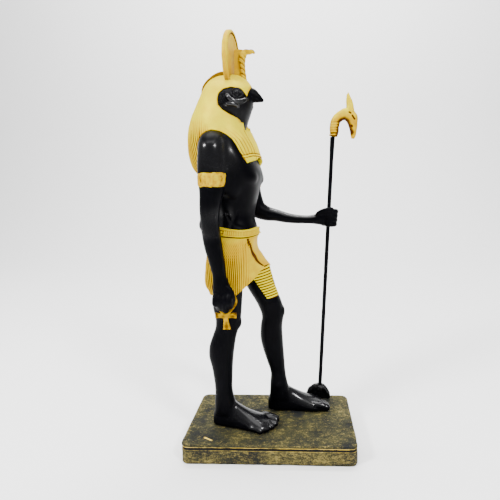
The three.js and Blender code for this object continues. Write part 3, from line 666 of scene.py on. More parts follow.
def volume(form):
    """Signed volume, positive where the faces point out."""
    total = 0
    for size in {len(face) for face in form.faces}:
        corners = form.points[np.array([face for face in form.faces if len(face) == size])]
        for k in range(1, size - 1):
            across = np.cross(corners[:, k], corners[:, k + 1])
            total += np.einsum("ij,ij->i", corners[:, 0], across).sum() / 6
    return total


def facing_out(form):
    """The form, with its faces turned round where they point in."""
    return form if volume(form) > 0 else Form(form.points, [face[::-1] for face in form.faces], form.relief)


def level(rows, around, along, grow=0):
    """Level rings: rows are height, front x, back x, middle y, half width, squareness. grow swells them."""
    rows = blend(rows, along)
    a = full_turn(around)[None, :]
    z, front, back, y, half, square = (rows[:, k, None] for k in range(6))
    x, aside = oval(a, front, back, half, square, grow)
    return np.stack([x, y + aside, z + 0 * a], -1)


def sweep(rows, around, along, square=2.2, grow=0):
    """Rings along a path near the XZ plane: rows are x, y, height, half across, half along Y."""
    rows = blend(rows, along)
    path = rows[:, :3]
    ahead = np.gradient(path, axis=0) * [1, 0, 1]
    ahead /= np.linalg.norm(ahead, axis=1)[:, None]
    across = np.cross([0, 1, 0], ahead)[:, None, :]
    a = full_turn(around)[None, :]
    side = ((rows[:, 3, None] + grow) * power(np.cos(a), square))[..., None]
    deep = ((rows[:, 4, None] + grow) * power(np.sin(a), square))[..., None]
    return path[:, None, :] + side * across + deep * np.array([0, 1, 0])


def bar(points, radius, around=14, along=24, ends=0.5):
    """Round bar along a free path, thinner towards both ends."""
    path = blend(points, along)[:, :3]
    ahead = np.gradient(path, axis=0)
    ahead /= np.linalg.norm(ahead, axis=1)[:, None]
    a = full_turn(around)
    side = np.cross(ahead[0], [0.3, 0.5, 0.8])
    rings = []
    for k, (centre, way) in enumerate(zip(path, ahead)):
        side = side - way * side.dot(way)
        side = side / np.linalg.norm(side)
        t = 2 * k / (along - 1) - 1
        r = radius * lerp(ends, 1, math.sqrt(max(0, 1 - t**4)))
        rings.append(centre + r * np.outer(np.cos(a), side) + r * np.outer(np.sin(a), np.cross(way, side)))
    return skin(np.array(rings))


def ball(centre, radii, around=28):
    """Ellipsoid, cut off just before its poles."""
    lift = np.linspace(-0.97, 0.97, around // 2)[:, None, None] * np.pi / 2
    return skin((np.cos(lift) * circle(around) + np.sin(lift) * [0, 0, 1]) * radii + centre)


def prism(outline, y0, y1):
    """Prism from an outline in the XZ plane."""
    x, z = np.array(outline, float).T
    n = len(x)
    points = np.concatenate([np.stack([x, np.full(n, y), z], 1) for y in (y0, y1)])
    sides = [(i, (i + 1) % n, (i + 1) % n + n, i + n) for i in range(n)]
    return facing_out(Form(points, [tuple(range(n))[::-1], tuple(range(n, 2 * n))] + sides))


def in_plane(rows, y):
    """Path rows of x, height and widths with their place along Y put in."""
    return [[x, y, *rest] for x, *rest in rows]


def added(name, data):
    """A new object of the scene."""
    made = bpy.data.objects.new(name, data)
    bpy.context.scene.collection.objects.link(made)
    return made


def through_modifier(form, kind, settings, tool=None):
    """The form as one Blender modifier leaves it."""
    holder = added("holder", form.mesh("holder", 1.0))
    modifier = holder.modifiers.new("step", kind)
    for key, value in settings.items():
        setattr(modifier, key, value)
    if tool:
        cutter = added("cutter", tool.mesh("cutter", 1.0))
        modifier.object = cutter
    graph = bpy.context.evaluated_depsgraph_get()
    made = from_mesh(bpy.data.meshes.new_from_object(holder.evaluated_get(graph)))
    for spare in ([holder, cutter] if tool else [holder]):
        bpy.data.objects.remove(spare)
    return made


def carved(form, tool, operation="DIFFERENCE"):
    return through_modifier(form, "BOOLEAN", {"operation": operation, "solver": "EXACT"}, tool)


def edges_of(form):
    """The two points of every edge, each edge once."""
    edges = np.array([(f[i - 1], f[i]) for f in form.faces for i in range(len(f))])
    return np.unique(np.sort(edges, axis=1), axis=0)


def neighbour_pull(edges, count):
    """A function that gives the way from each point to the middle of its neighbours."""
    near = np.maximum(np.bincount(edges.ravel(), minlength=count), 1)[:, None]

    def pull(points):
        sums = [
            np.bincount(edges[:, 0], points[edges[:, 1], c], count)
            + np.bincount(edges[:, 1], points[edges[:, 0], c], count)
            for c in range(3)
        ]
        return np.stack(sums, 1) / near - points

    return pull


def relaxed(form, rounds, share=None):
    """Smoothed without shrinking: each round pulls points to their neighbours' middle, then pushes back."""
    inward, outward = 0.5, -0.47
    points = form.points.copy()
    pull = neighbour_pull(edges_of(form), len(points))
    share = np.ones(len(points)) if share is None else share
    for _ in range(rounds):
        for strength in (inward, outward):
            points += pull(points) * (share * strength)[:, None]
    return Form(points, form.faces, form.relief)


def fused(forms, voxel, rounds, share=None):
    """One skin round several forms, smoothed where they meet."""
    made = through_modifier(joined(*forms), "REMESH", {"mode": "VOXEL", "voxel_size": voxel, "adaptivity": 0})
    return relaxed(made, rounds, share(made.points) if share else None)


def filled(form, rounds, share):
    """Hollow places filled where share is above 0, as when a modeller rounds off a joint."""
    hollow, bump, rounds_between_normals = 0.45, 0.08, 12
    edges = edges_of(form)
    edges = edges[(share[edges] > 0).any(axis=1)]
    pull = neighbour_pull(edges, len(form.points))
    made = Form(form.points.copy(), form.faces, form.relief)
    for k in range(rounds):
        if k % rounds_between_normals == 0:
            out = normals(made)
        rise = np.einsum("ij,ij->i", pull(made.points), out)
        step = hollow * np.maximum(rise, 0) + bump * np.minimum(rise, 0)
        made.points += (share * step)[:, None] * out
    return made


def normals(form):
    """Unit normal at each point."""
    mesh = form.mesh("normals", 1.0)
    out = np.empty(3 * len(form.points), np.float32)
    mesh.vertices.foreach_get("normal", out)
    bpy.data.meshes.remove(mesh)
    return out.reshape(-1, 3)


def pushed(form, distance, relief=None):
    """Each point moved along its normal."""
    moved = form.points + normals(form) * np.asarray(distance)[:, None]
    return Form(moved, form.faces, form.relief if relief is None else relief)


def piece(name, form, finish, node):
    """A shown piece that rides on the root body and stands for a CAD node."""
    made = added(name, form.mesh(name))
    made.data.materials.append(finish)
    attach(made, "root")
    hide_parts(node)
    return made


def gold_piece(name, form, node="figure"):
    """A shown piece with the gold finish."""
    piece(name, form, antique_gold(), node)


def black_piece(name, form, node="figure"):
    """A shown piece with the gloss black finish."""
    piece(name, form, gloss_black(), node)


# Finishes
class Value:
    """A shader socket that takes part in ordinary arithmetic."""

    def __init__(self, finish, socket):
        self.finish = finish
        self.socket = socket

    def _math(self, operation, *values, clamp=False):
        settings = {"operation": operation, "use_clamp": clamp}
        return self.finish.node("ShaderNodeMath", settings, dict(enumerate(values)))

    def __add__(self, other):
        return self._math("ADD", self, other)

    __radd__ = __add__

    def __sub__(self, other):
        return self._math("SUBTRACT", self, other)

    def __rsub__(self, other):
        return self._math("SUBTRACT", other, self)

    def __mul__(self, other):
        return self._math("MULTIPLY", self, other)

    __rmul__ = __mul__

    def clamped(self):
        return self._math("ADD", self, 0.0, clamp=True)

    def below(self):
        """How far a signed value lies under zero."""
        return self._math("MULTIPLY", self, -1.0, clamp=True)

    def step(self, low, high):
        """Soft step from 0 at low to 1 at high."""
        sockets = {"Value": self, "From Min": low, "From Max": high}
        return self.finish.node("ShaderNodeMapRange", {"interpolation_type": "SMOOTHSTEP"}, sockets)


class Finish:
    """A procedural material under construction."""

    def __init__(self, name):
        self.material = bpy.data.materials.new(name)
        self.material.use_nodes = True
        self.tree = self.material.node_tree
        self.tree.nodes.clear()

    def node(self, kind, settings=None, sockets=None, output=0):
        """A node with its settings made first, then its sockets filled with values or links."""
        made = self.tree.nodes.new(kind)
        for key, value in (settings or {}).items():
            setattr(made, key, value)
        for key, value in (sockets or {}).items():
            socket = made.inputs[key] if isinstance(key, int) else next(
                s for s in made.inputs if s.name == key and s.enabled
            )
            if isinstance(value, Value):
                self.tree.links.new(value.socket, socket)
            else:
                socket.default_value = value
        outputs = [s for s in made.outputs if s.enabled]
        return Value(self, outputs[output] if isinstance(output, int) else made.outputs[output])

    def place(self):
        return self.node("ShaderNodeTexCoord", output="Object")

    def vector(self, operation, first, second, output=0):
        return self.node("ShaderNodeVectorMath", {"operation": operation}, {0: first, 1: second}, output)

    def noise(self, size, detail=4.0, roughness=0.55, squeeze=(1, 1, 1)):
        """Noise from 0 to 1 with lumps of about the given size in metres, longer where squeeze is under 1."""
        place = self.vector("MULTIPLY", self.place(), squeeze)
        sockets = {"Vector": place, "Scale": 1 / size, "Detail": detail, "Roughness": roughness}
        return self.node("ShaderNodeTexNoise", None, sockets)

    def stroke(self, start, end, half):
        """1 along a short straight stroke of paint seen from above, 0 away from it."""
        middle = [(a + b) / 2 for a, b in zip(start, end)]
        reach = math.dist(start, end) / 2
        way = [(b - a) / (2 * reach) for a, b in zip(start, end)]
        offset = self.vector("SUBTRACT", self.place(), (*middle, 0))
        share = 1
        for direction, limit in ((way, reach), ((-way[1], way[0]), half)):
            along = self.vector("DOT_PRODUCT", offset, (*direction, 0), "Value")
            share = (along * along).step(limit**2, 0.3 * limit**2) * share
        return share

    def relief(self):
        return self.node("ShaderNodeAttribute", {"attribute_name": "relief"}, output="Fac")

    def mix(self, share, first, second):
        """Colour between two colours."""
        sockets = {"Factor": share, "A": opaque(first), "B": opaque(second)}
        return self.node("ShaderNodeMix", {"data_type": "RGBA"}, sockets)

    def shade(self, varying, fixed):
        """The surface shader: sockets that vary over the surface, then plain values."""
        bsdf = self.tree.nodes.new("ShaderNodeBsdfPrincipled")
        for key, value in fixed.items():
            bsdf.inputs[key].default_value = value
        for key, value in varying.items():
            self.tree.links.new(value.socket, bsdf.inputs[key])
        out = self.tree.nodes.new("ShaderNodeOutputMaterial")
        self.tree.links.new(bsdf.outputs["BSDF"], out.inputs["Surface"])
        return self.material

    def bump(self, height, strength, distance):
        sockets = {"Height": height, "Strength": strength, "Distance": distance}
        return self.node("ShaderNodeBump", None, sockets)


def opaque(value):
    return value if isinstance(value, Value) else (*value, 1.0)


def once(make):
    """A material that is made the first time it is asked for, from a blank finish and the user's colours."""

    def found():
        name = make.__name__
        return bpy.data.materials.get(name) or make(Finish(name), bpy.context.scene.statue_colours)

    return found


@once
def gloss_black(f, colours):
    clouds = f.noise(0.012, 3.0)
    dust = f.noise(0.0016, 5.0, 0.65)
    base = f.mix(clouds.step(0.45, 0.75) * 0.5, colours.black, [c * 2 for c in colours.black])
    rough = 0.36 + clouds * 0.1 + dust.step(0.55, 0.8) * 0.08
    ripple = f.noise(0.004, 2.0) * 0.7 + dust * 0.3
    normal = f.bump(ripple, 0.15, 0.0003)
    varying = {"Base Color": base, "Roughness": rough, "Coat Weight": f.relief().clamped(), "Normal": normal}
    return f.shade(varying, {"Specular IOR Level": 0.028, "Coat Roughness": 0.2})


@once
def antique_gold(f, colours):
    relief = f.relief()
    patches = f.noise(0.007, 5.0, 0.6)
    fine = f.noise(0.0009, 4.0, 0.7)
    # Pale where the relief is high: worn, raised places, and painted highlight where a piece sets a high
    # relief for light.
    lift = (patches.step(0.32, 0.68) * 0.3 + fine * 0.2 + relief - 0.1).clamped()
    paint = f.mix(lift, colours.gold_deep, colours.gold_pale)
    # Dark where the relief is below zero: the antiquing in carved lines, and painted shade where a piece sets
    # a low relief for shade.
    wash_and_shade = (relief.below() * (0.6 + fine * 0.7)).step(0.1, 0.8)
    base = f.mix(wash_and_shade, paint, colours.gold_wash_and_shade)
    rough = 0.36 + fine * 0.2 + wash_and_shade * 0.3
    metal = 0.12 - wash_and_shade * 0.1
    normal = f.bump(fine * 0.6 + patches * 0.4, 0.3, 0.0003)
    varying = {"Base Color": base, "Roughness": rough, "Metallic": metal, "Normal": normal}
    tint = (1.0, 0.75, 0.0, 1.0)
    return f.shade(varying, {"Specular IOR Level": 0.02, "Specular Tint": tint})


@once
def brushed_plinth(f, colours):
    relief = f.relief()
    clouds = f.noise(0.016, 4.0, 0.6)
    streak = f.noise(0.0022, 6.0, 0.75, (0.55, 1, 1.5))
    speckle = f.noise(0.0009, 6.0, 0.8)
    ground = f.mix((clouds * 0.6 + speckle * 0.4).step(0.36, 0.6), colours.stone_dark, colours.stone_olive)
    brush = (clouds * 0.25 + streak * 0.55 + speckle * 0.6 + relief * 0.06).step(0.7, 0.9)
    base = f.mix(brush * 0.7, ground, colours.stone_gold)
    worn = (relief - 1.0).clamped() * f.noise(0.009, 5.0, 0.7, (0.5, 1, 1)).step(0.36, 0.52)
    base = f.mix(worn, base, colours.edge_gold)
    fleck = f.stroke(FLECK_START, FLECK_END, FLECK_HALF) * speckle.step(0.3, 0.5)
    base = f.mix(fleck, base, colours.edge_gold)
    base = f.mix(relief.below().step(0.15, 0.7), base, colours.stone_dark)
    rough = 0.7 - brush * 0.2
    metal = brush * 0.4
    normal = f.bump(speckle * 0.6 + streak * 0.4, 0.9, 0.0008)
    varying = {"Base Color": base, "Roughness": rough, "Metallic": metal, "Normal": normal}
    return f.shade(varying, {"Specular IOR Level": 0.06})


@once
def satin_black(f, colours):
    wear = f.noise(0.003, 5.0, 0.6)
    base = f.mix(wear.step(0.5, 0.8) * 0.6, colours.black, [c * 4 for c in colours.black])
    varying = {"Base Color": base, "Roughness": 0.3 + wear * 0.2, "Normal": f.bump(wear, 0.25, 0.0003)}
    return f.shade(varying, {"Specular IOR Level": 0.03})


@once
def pale_paper(f, colours):
    tone = f.noise(0.3, 2.0)
    base = f.mix(tone, [c * 0.98 for c in colours.floor], colours.floor)
    return f.shade({"Base Color": base}, {"Roughness": 0.9, "Specular IOR Level": 0.1})


# Plinth
def rounded_ring(length, depth, corner):
    """Points round a rectangle with round corners, evenly close on the straight sides."""
    per_side, per_corner = 90, 16
    arcs = []
    for q, (sx, sy) in enumerate([(1, 1), (-1, 1), (-1, -1), (1, -1)]):
        middle = [sx * (length / 2 - corner), sy * (depth / 2 - corner)]
        turn = np.radians(90 * q + np.linspace(0, 90, per_corner))
        arcs.append(middle + corner * np.stack([np.cos(turn), np.sin(turn)], 1))
    ring = []
    for arc, following in zip(arcs, arcs[1:] + arcs[:1]):
        ring += [*arc, *np.linspace(arc[-1], following[0], per_side + 2)[1:-1]]
    return np.array(ring)


def plinth_form():
    """Two-tier block: a groove under the rim, worn edges, an uneven hand-finished top."""
    length, depth = (BASE_HIGH - BASE_LOW)[:2]
    top = BASE_HIGH[2]
    lip = top - BASE_RIM
    foot = lip - BASE_GROOVE
    profile = BASE_SOLE + [[z, 0, 0.8] for z in np.linspace(1.8, foot - 1, 14)]
    for start, rows in ((foot, GROOVE_FOOT), (lip, GROOVE_LIP), (top, BASE_TOP)):
        profile += [[start + up, out, mark] for up, out, mark in rows]
    *_, (height, inset, _) = profile
    profile = [[z, out, 1, mark] for z, out, mark in profile]
    profile += [[height, inset, 1 - t, 0.5 * max(0, 1 - 14 * t)] for t in np.linspace(0, 1, 46)[1:-1]]
    outer = rounded_ring(length, depth, BASE_CORNER)
    middle_away = outer / np.linalg.norm(outer, axis=1)[:, None]

    def ring_at(z, out, share):
        return np.column_stack([(outer + out * middle_away) * share, np.full(len(outer), z)])

    return lathed(profile, ring_at)


class STATUE_OT_plinth(bpy.types.Operator):
    """Make the two-tier plinth with its dry-brushed finish"""

    bl_idname = "statue.plinth"
    bl_label = "Plinth"

    def execute(self, context):
        form = plinth_form()
        rough = grain(form.points, 9, 1) * 0.5 + grain(form.points, 2.6, 2) * 0.5
        over_sole = form.points[:, 2] > 0.3
        wear = (np.minimum(rough, 0.1) - 0.1) * chosen("plinth_wear") * 1.4 * over_sole
        form = pushed(form, wear, form.relief + rough * 0.35)
        piece("plinth", form, brushed_plinth(), "base")
        return {"FINISHED"}


# Black body
def foot(heel_x, heel_y, angle, inner):
    """Foot on the sole plane, with five toes. inner is 1 where the inner side lies towards +Y."""
    c, s = cos_sin(angle)

    def placed(ahead, aside, up):
        x = heel_x + ahead * c - aside * inner * s
        y = heel_y + ahead * s + aside * inner * c
        return np.stack(np.broadcast_arrays(x, y, SOLE + up), -1)

    rows = blend(FOOT, 60)
    a = full_turn(40)[None, :]
    ahead, inside, outside, high = (rows[:, k, None] for k in range(4))
    over = SOLE_EDGE + (high - SOLE_EDGE) * np.sin(a)
    under = SOLE_EDGE + SOLE_EDGE * power(np.sin(a), 3.4)
    across = (inside + outside) / 2 + (inside - outside) / 2 * power(np.cos(a), 2.1)
    parts = [skin(placed(ahead + 0 * a, across, np.where(np.sin(a) > 0, over, under)))]
    for tip, tip_side, root, root_side, r in TOES:
        start = placed(root, root_side, r * 1.5)
        knuckle = placed(lerp(root, tip, 0.45), lerp(root_side, tip_side, 0.45), r * 1.42)
        end = placed(tip - r * 0.9, tip_side, r * 0.94)
        parts.append(bar([start, knuckle, end], r, 20, 20, 0.72))
        parts.append(ball(placed(tip - r * 1.02, tip_side, r * 0.98), (r * 1.02, r * 1.02, r * 0.98), 20))
    return parts


def right_hand():
    """Fist that hangs down: four fingers curl under it and the thumb lies in front."""
    fingers = [
        bar([[x, y, z + share * rise] for y, z, share in RIGHT_FINGER], 2.25) for x, rise in RIGHT_FINGERS
    ]
    return [*fingers, bar(RIGHT_THUMB, 2.35), ball(*RIGHT_PALM)]


def left_hand():
    """Fist round the staff: four fingers wrap it and the thumb lies over them."""
    fingers = [
        bar([[x + LEFT_LEAN * k, y, LEFT_LOWEST + LEFT_STEP * k] for x, y in LEFT_FINGER], 2.15, 16, 30, 0.6)
        for k in range(4)
    ]
    return [*fingers, bar(LEFT_THUMB, 2.2)]


def body_parts():
    torso = [skin(level(TORSO, 96, 120))]
    torso += [ball(centre, radii) for centre, radii in TORSO_MASSES]
    limbs = [skin(level(rows, 56, 120)) for rows in (RIGHT_LEG, LEFT_LEG, RIGHT_ARM)]
    limbs.append(skin(sweep(LEFT_ARM, 56, 140)))
    limbs += [ball(centre, radii) for centre, radii in LIMB_MASSES]
    limbs += foot(*RIGHT_FOOT) + foot(*LEFT_FOOT)
    return [form.turned() for form in torso] + limbs + right_hand() + left_hand()


def soft_places(points):
    """How much the body's skin is smoothed: less at the hands and toes."""
    x, y, z = points.T
    right_fist = window(z, 100, 106, 119, 127) * smooth(y, -20, -23)
    left_fist = smooth(x, 35, 39) * smooth(z, 150, 156)
    toes = smooth(z, 27, 22)
    return 1 - 0.7 * np.maximum.reduce([right_fist, left_fist, toes])


def varnish(form):
    """How thick the clear varnish lies: on the shoulders, waist, far forearm and tops of the feet."""
    x, y, z = form.points.T
    up = normals(form)[:, 2]
    shoulders = 0.4 * smooth(z, 194, 212) * smooth(np.abs(y), 25, 29) * smooth(up, 0.6, 0.38)
    waist = 0.3 * window(z, 156, 162, 172, 182) * smooth(x, -21, -25) * smooth(y, -8, -12)
    feet = 0.6 * smooth(z, 44, 34) * smooth(up, 0.15, 0.55)
    forearm = 0.7 * smooth(y, 14, 20) * window(x, -4, 4, 34, 40) * smooth(z, 196, 186)
    forearm *= smooth(up, 0.25, 0.55)
    return np.maximum.reduce([shoulders, waist, feet, forearm])


def creases(points):
    """Skin folds over the near hip, 1 in their middle."""
    return smooth(off_lines(points, *HIP_FOLDS), 1.5, 0.2) * smooth(points[:, 1], -6, -10)


def joint_places(points):
    """Where hollows between the masses are filled: the shoulders, the chest and the ankles above all."""
    x, _, z = points.T
    shoulders = window(z, 178, 190, 230, 236) * smooth(x, -46, -38)
    waist = window(z, 118, 130, 176, 186) * smooth(x, 34, 26)
    ankles = window(z, 22, 30, 48, 58)
    return np.maximum.reduce([shoulders, 0.2 * waist, 0.8 * ankles])


class STATUE_OT_body(bpy.types.Operator):
    """Make the black body: torso, arms, hands, legs and feet as one cast skin"""

    bl_idname = "statue.body"
    bl_label = "Black body"

    def execute(self, context):
        form = fused(body_parts(), chosen("body_voxel"), 10, soft_places)
        form = filled(form, 72, joint_places(form.points))
        form = pushed(form, -0.45 * creases(form.points), varnish(form))
        form.points[:, 2] = np.maximum(form.points[:, 2], SOLE)
        black_piece("body", form)
        return {"FINISHED"}


# Falcon head
def on_skull(x, out, z):
    """A point at the given x and height: out is 1 on the skull's left side, -1 on its right, more off it."""
    front, back, _, half, square = at_height(SKULL, z)
    away = abs((x - (front + back) / 2) / ((front - back) / 2))
    side = math.copysign(1, out)
    return [x, side * half * (1 - min(away, 0.98) ** square) ** (1 / square) + out - side, z]


def head_parts():
    parts = [skin(level(SKULL, 100, 100)), skin(sweep(in_plane(BEAK, 0), 48, 60, 2))]
    for side in (-1, 1):
        for radius, thick in EYE_RINGS:
            circle_points = closed_circle(25)
            ring = [on_skull(EYE_X + radius * c, side * 1.3, EYE_Z + radius * s) for c, s in circle_points]
            parts.append(bar(ring, thick, 12, 90, 0.98))
        parts.append(ball(on_skull(EYE_X, side * 0.9, EYE_Z), (1.5, 1.7, 1.5), 24))
        for line, out, radius, along, ends in ((CHEEK, 1.1, 1.7, 60, 0.3), (CHEEK_FOLD, 0.8, 1.6, 50, 0.25)):
            parts.append(bar([on_skull(x, side * out, z) for x, z in line], radius, 18, along, ends))
    return parts


def cheek_feathers(points):
    """Curved ridges behind the eye, 0 on their crests and 1 between them."""
    x, y, z = points.T
    away = np.hypot(x - EYE_X, z - EYE_Z)
    turn = np.degrees(np.arctan2(z - EYE_Z, x - EYE_X)) % 360
    nearest, pitch = 6.6, 1.35
    behind_eye = window(away, nearest, 7.4, 14.4, 15.2) * window(turn, 172, 182, 226, 236)
    return groove((away - nearest) / pitch, 0.42) * behind_eye * smooth(np.abs(y), 5, 7)


class STATUE_OT_head(bpy.types.Operator):
    """Make the black falcon head with its beak, eyes and cheek feathers"""

    bl_idname = "statue.head"
    bl_label = "Falcon head"

    def execute(self, context):
        form = fused(head_parts(), chosen("head_voxel"), 1)
        ridges = smooth(off_lines(form.points, CHEEK, CHEEK_FOLD), 1.7, 0.5)
        gloss = 0.12 * smooth(form.points[:, 0], -10, -14) + 0.7 * ridges
        form = pushed(form, -0.6 * cheek_feathers(form.points), gloss).turned()
        black_piece("falcon_head", form)
        return {"FINISHED"}


# Headdress
def cloth_form():
    """The cloth from the crown to its hem, closed below by a rim and a floor over the shoulders."""
    around, along = 440, 140
    a = full_turn(around)
    turn = from_front(a)
    hem = read_straight(HEM, turn)
    share = np.linspace(0, 1, along)[:, None] ** 0.9
    z = lerp(CLOTH[0][0], hem[None, :], share)

    def ring(z, inward):
        middle, front, back, half, half_back, square = at_height(CLOTH, z)
        deep = np.where(np.cos(a) > 0, front, back) - inward
        wide = lerp(half, half_back, smooth(turn, 98, 132)) - inward
        x = middle + deep * power(np.cos(a), square)
        return np.stack([x, wide * power(np.sin(a), square), z + 0 * x], -1)

    rings = [ring(z, 0)]
    for inward, lift in ((0.5, -0.35), (2.4, 0), (4.5, 3)):
        rings.append(ring(np.broadcast_to(hem, (1, around)), inward) + [0, 0, lift])
    return skin(np.concatenate(rings))


def throat_wedge():
    """The open place between the beak's underside and the front of the cloth."""
    near, far = 6, 40
    rings = []
    for z, angle in THROAT:
        middle, front, _, half, _, _ = at_height(CLOTH, z)
        c, s = cos_sin(angle)
        slope = half * s / (front * c)
        corners = [(near, -near * slope), (far, -far * slope), (far, far * slope), (near, near * slope)]
        rings.append([[middle + ahead, aside, z] for ahead, aside in corners])
    return skin(np.array(rings))


def headdress_lines(points):
    """Depth of the carved lines at each point, 0 to 1, and where the raised end bands are."""
    x, y, z = points.T
    middle, front, back, half, half_back, square = at_height(CLOTH, z)
    ahead = (x - middle) / np.where(x > middle, front, back)
    aside = y / np.where(x > middle, half, half_back)
    c, s = np.sign(ahead) * np.abs(ahead) ** (square / 2), np.abs(aside) ** (square / 2)
    turn = np.degrees(np.arctan2(s, c))
    seam, outer = read_straight(SEAM, z), read_straight(LAPPET_OUT, z)
    share = (turn - seam) / (outer - seam)
    on_lappet = window(share, 0.06, 0.12, 0.93, 0.98) * smooth(z, 232, 222)
    lines = groove(share * 4.7, 0.19) * on_lappet * 0.85
    lines = np.maximum(lines, 0.4 * groove(turn / 7.6, 0.1) * smooth(turn, 20, 18) * smooth(z, 231, 228))
    split = smooth(np.abs(turn - seam), 1.3, 0.4) * smooth(z, 232.4, 231)
    band_edge = read_straight(LAPPET_BAND, turn)
    on_band = smooth(turn, 56, 54) * (z < 219)
    band = smooth(z, band_edge + 0.1, band_edge - 0.2) * on_band
    below_edge = band_edge - z
    across = np.maximum(smooth(np.abs(below_edge), 0.55, 0.15), smooth(np.abs(below_edge - 1.8), 0.45, 0.1))
    tresses = groove(turn / 4.6, 0.34) * smooth(turn, 108, 118) * smooth(z, 243, 226)
    lines = np.maximum(lines * (1 - band), across * on_band)
    above_hem, behind = z - read_straight(HEM, turn), smooth(turn, 98, 110)
    rim = smooth(above_hem, 0.6, 0.1) * smooth(turn, 44, 48) * 0.6
    rim = np.maximum(rim, 0.7 * smooth(above_hem, 6, 1) * behind * groove(turn / 3.1, 0.45))
    return np.maximum.reduce([lines, split, tresses, rim]), band * (1 - split)


def shade_beside_ridge(points):
    """The dark line of painted shade on each side of the crown's ridge."""
    x, y, z = points.T
    return smooth(np.abs(np.abs(y) - 3.7), 1.2, 0.5) * smooth(x, -26, -29) * smooth(z, 252, 257)


class STATUE_OT_headdress(bpy.types.Operator):
    """Make the gold headdress: hood with the face opening, lappets, striped back and crown ridge"""

    bl_idname = "statue.headdress"
    bl_label = "Headdress"

    def execute(self, context):
        cloth = carved(carved(cloth_form(), prism(FACE_OPENING, -40, 40)), throat_wedge())
        lines, band = headdress_lines(cloth.points)
        unevenness = grain(cloth.points, 7, 3) * 0.14 + grain(cloth.points, 3, 4) * 0.05
        # Painted shade along the edge of the face opening and beside the crown's ridge; the carved lines
        # carry the antiquing.
        outline = off_lines(cloth.points, [*FACE_OPENING, FACE_OPENING[0]])
        dark = np.maximum.reduce([lines, shade_beside_ridge(cloth.points), 0.35 * smooth(outline, 0.75, 0.2)])
        x, _, z = cloth.points.T
        # Painted shade: the lower back of the hood is painted darker.
        behind = smooth(x, -40, -52) * smooth(z, 236, 218)
        relief = 0.62 + 0.1 * band - 1.7 * dark - 0.4 * behind
        cloth = pushed(cloth, unevenness + 0.3 * band - chosen("stripe_depth") * lines, relief)
        ridge = skin(sweep(in_plane(RIDGE, 0), 40, 60, 3))
        # Painted highlight and shade on the crown's ridge: pale along its top, darker down its sides.
        ridge.relief = -0.1 - 0.5 * smooth(np.abs(ridge.points[:, 1]), 1.6, 2.7)
        gold_piece("headdress", joined(cloth, ridge).turned())
        return {"FINISHED"}


# Sun disc and cobra
def disc_form():
    """Thick disc with a raised lip and a slightly hollow face, standing across the head."""
    r, h = DISC_RADIUS, DISC_THICK / 2
    profile = [[0.01, -h, 0]]
    profile += [[r - inset, up - h, mark] for inset, up, mark in DISC_BACK]
    profile += [[r, -0.6, 0.12], [r, 0.6, 0.12]]
    profile += [[r - inset, h - down, mark] for inset, down, mark in DISC_LIP]
    profile += [[r * t, h - 0.4 - 0.5 * (1 - t), 0] for t in np.linspace(0.72, 0.02, 26)]
    c, s = cos_sin(DISC_TURN)
    a = full_turn(140)

    def ring_at(radius, ahead):
        up, side = radius * np.cos(a), radius * np.sin(a)
        up = np.where(up < 0, DISC_DROP * up, up)
        x, z = ahead * c - up * s, ahead * s + up * c
        return np.stack([DISC_X + x, side, CROWN - DISC_RADIUS + z], 1)

    return lathed(profile, ring_at)


def cobra_form():
    """Rearing cobra with slanting bands of scales."""
    around, along = 96, 260
    a = full_turn(around)[None, :]
    t = np.linspace(0, 1, along)[:, None]
    bands = -0.4 * groove(t * 9 + a / np.pi, 0.34) * smooth(t, 0.74, 0.66)
    lip = -0.9 * smooth(np.sin(a + np.pi / 2), -0.1, -0.7) * smooth(t, 0.76, 0.82)
    web = prism(COBRA_WEB, -1.5, 1.5)
    web.relief -= 0.1
    return joined(skin(sweep(in_plane(COBRA, 0), around, along, 2.2, bands), 0.1 + 1.9 * bands + lip), web)


class STATUE_OT_sun_disc(bpy.types.Operator):
    """Make the sun disc and the cobra in front of it"""

    bl_idname = "statue.sun_disc"
    bl_label = "Sun disc and cobra"

    def execute(self, context):
        disc = disc_form()
        disc = pushed(disc, grain(disc.points, 4, 5) * 0.12).turned()
        # Painted shade: the disc is painted darker towards its bottom.
        disc.relief -= 0.5 * smooth(disc.points[:, 2], 282, 264)
        gold_piece("sun_disc", disc)
        gold_piece("cobra", cobra_form().turned())
        return {"FINISHED"}


# Armlets
def barrel(share):
    """How far an armlet stands off the arm: a lip at each end and a full middle."""
    return smooth(np.abs(share), 1.0, 0.9) * (0.6 + 0.4 * smooth(np.abs(share), 0.95, 0.5))


class STATUE_OT_armlets(bpy.types.Operator):
    """Make the two hammered armlets"""

    bl_idname = "statue.armlets"
    bl_label = "Armlets"

    def execute(self, context):
        around, along = 150, 60
        grow = barrel(np.linspace(-1, 1, along)[:, None]) + np.zeros((1, around))
        forms = {
            "armlet_right": skin(level(RIGHT_ARMLET, around, along, grow)),
            "armlet_left": skin(sweep(LEFT_ARMLET, around, along, 2.2, grow)),
        }
        for name, form in forms.items():
            dents = grain(form.points, 2.3, 7) * 0.5 + grain(form.points, 1.1, 8) * 0.5
            edge = grain(form.points * [1, 1, 0.2], 3.4, 6) * 0.35
            form = pushed(form, 0.28 * dents, 0.75 * dents - 0.14)
            form.points[:, 2] += edge
            gold_piece(name, form)
        return {"FINISHED"}


# Kilt, belt and thigh panel
def belt_level(side, share=0.0):
    """How the belt dips over the front of each hip and rises behind: side is the angle from the front."""
    return BELT_DIP * (smooth(side, 75, 120) * lerp(0.1, 0.75, share) - np.exp(-(((side - 55) / 38) ** 2)))


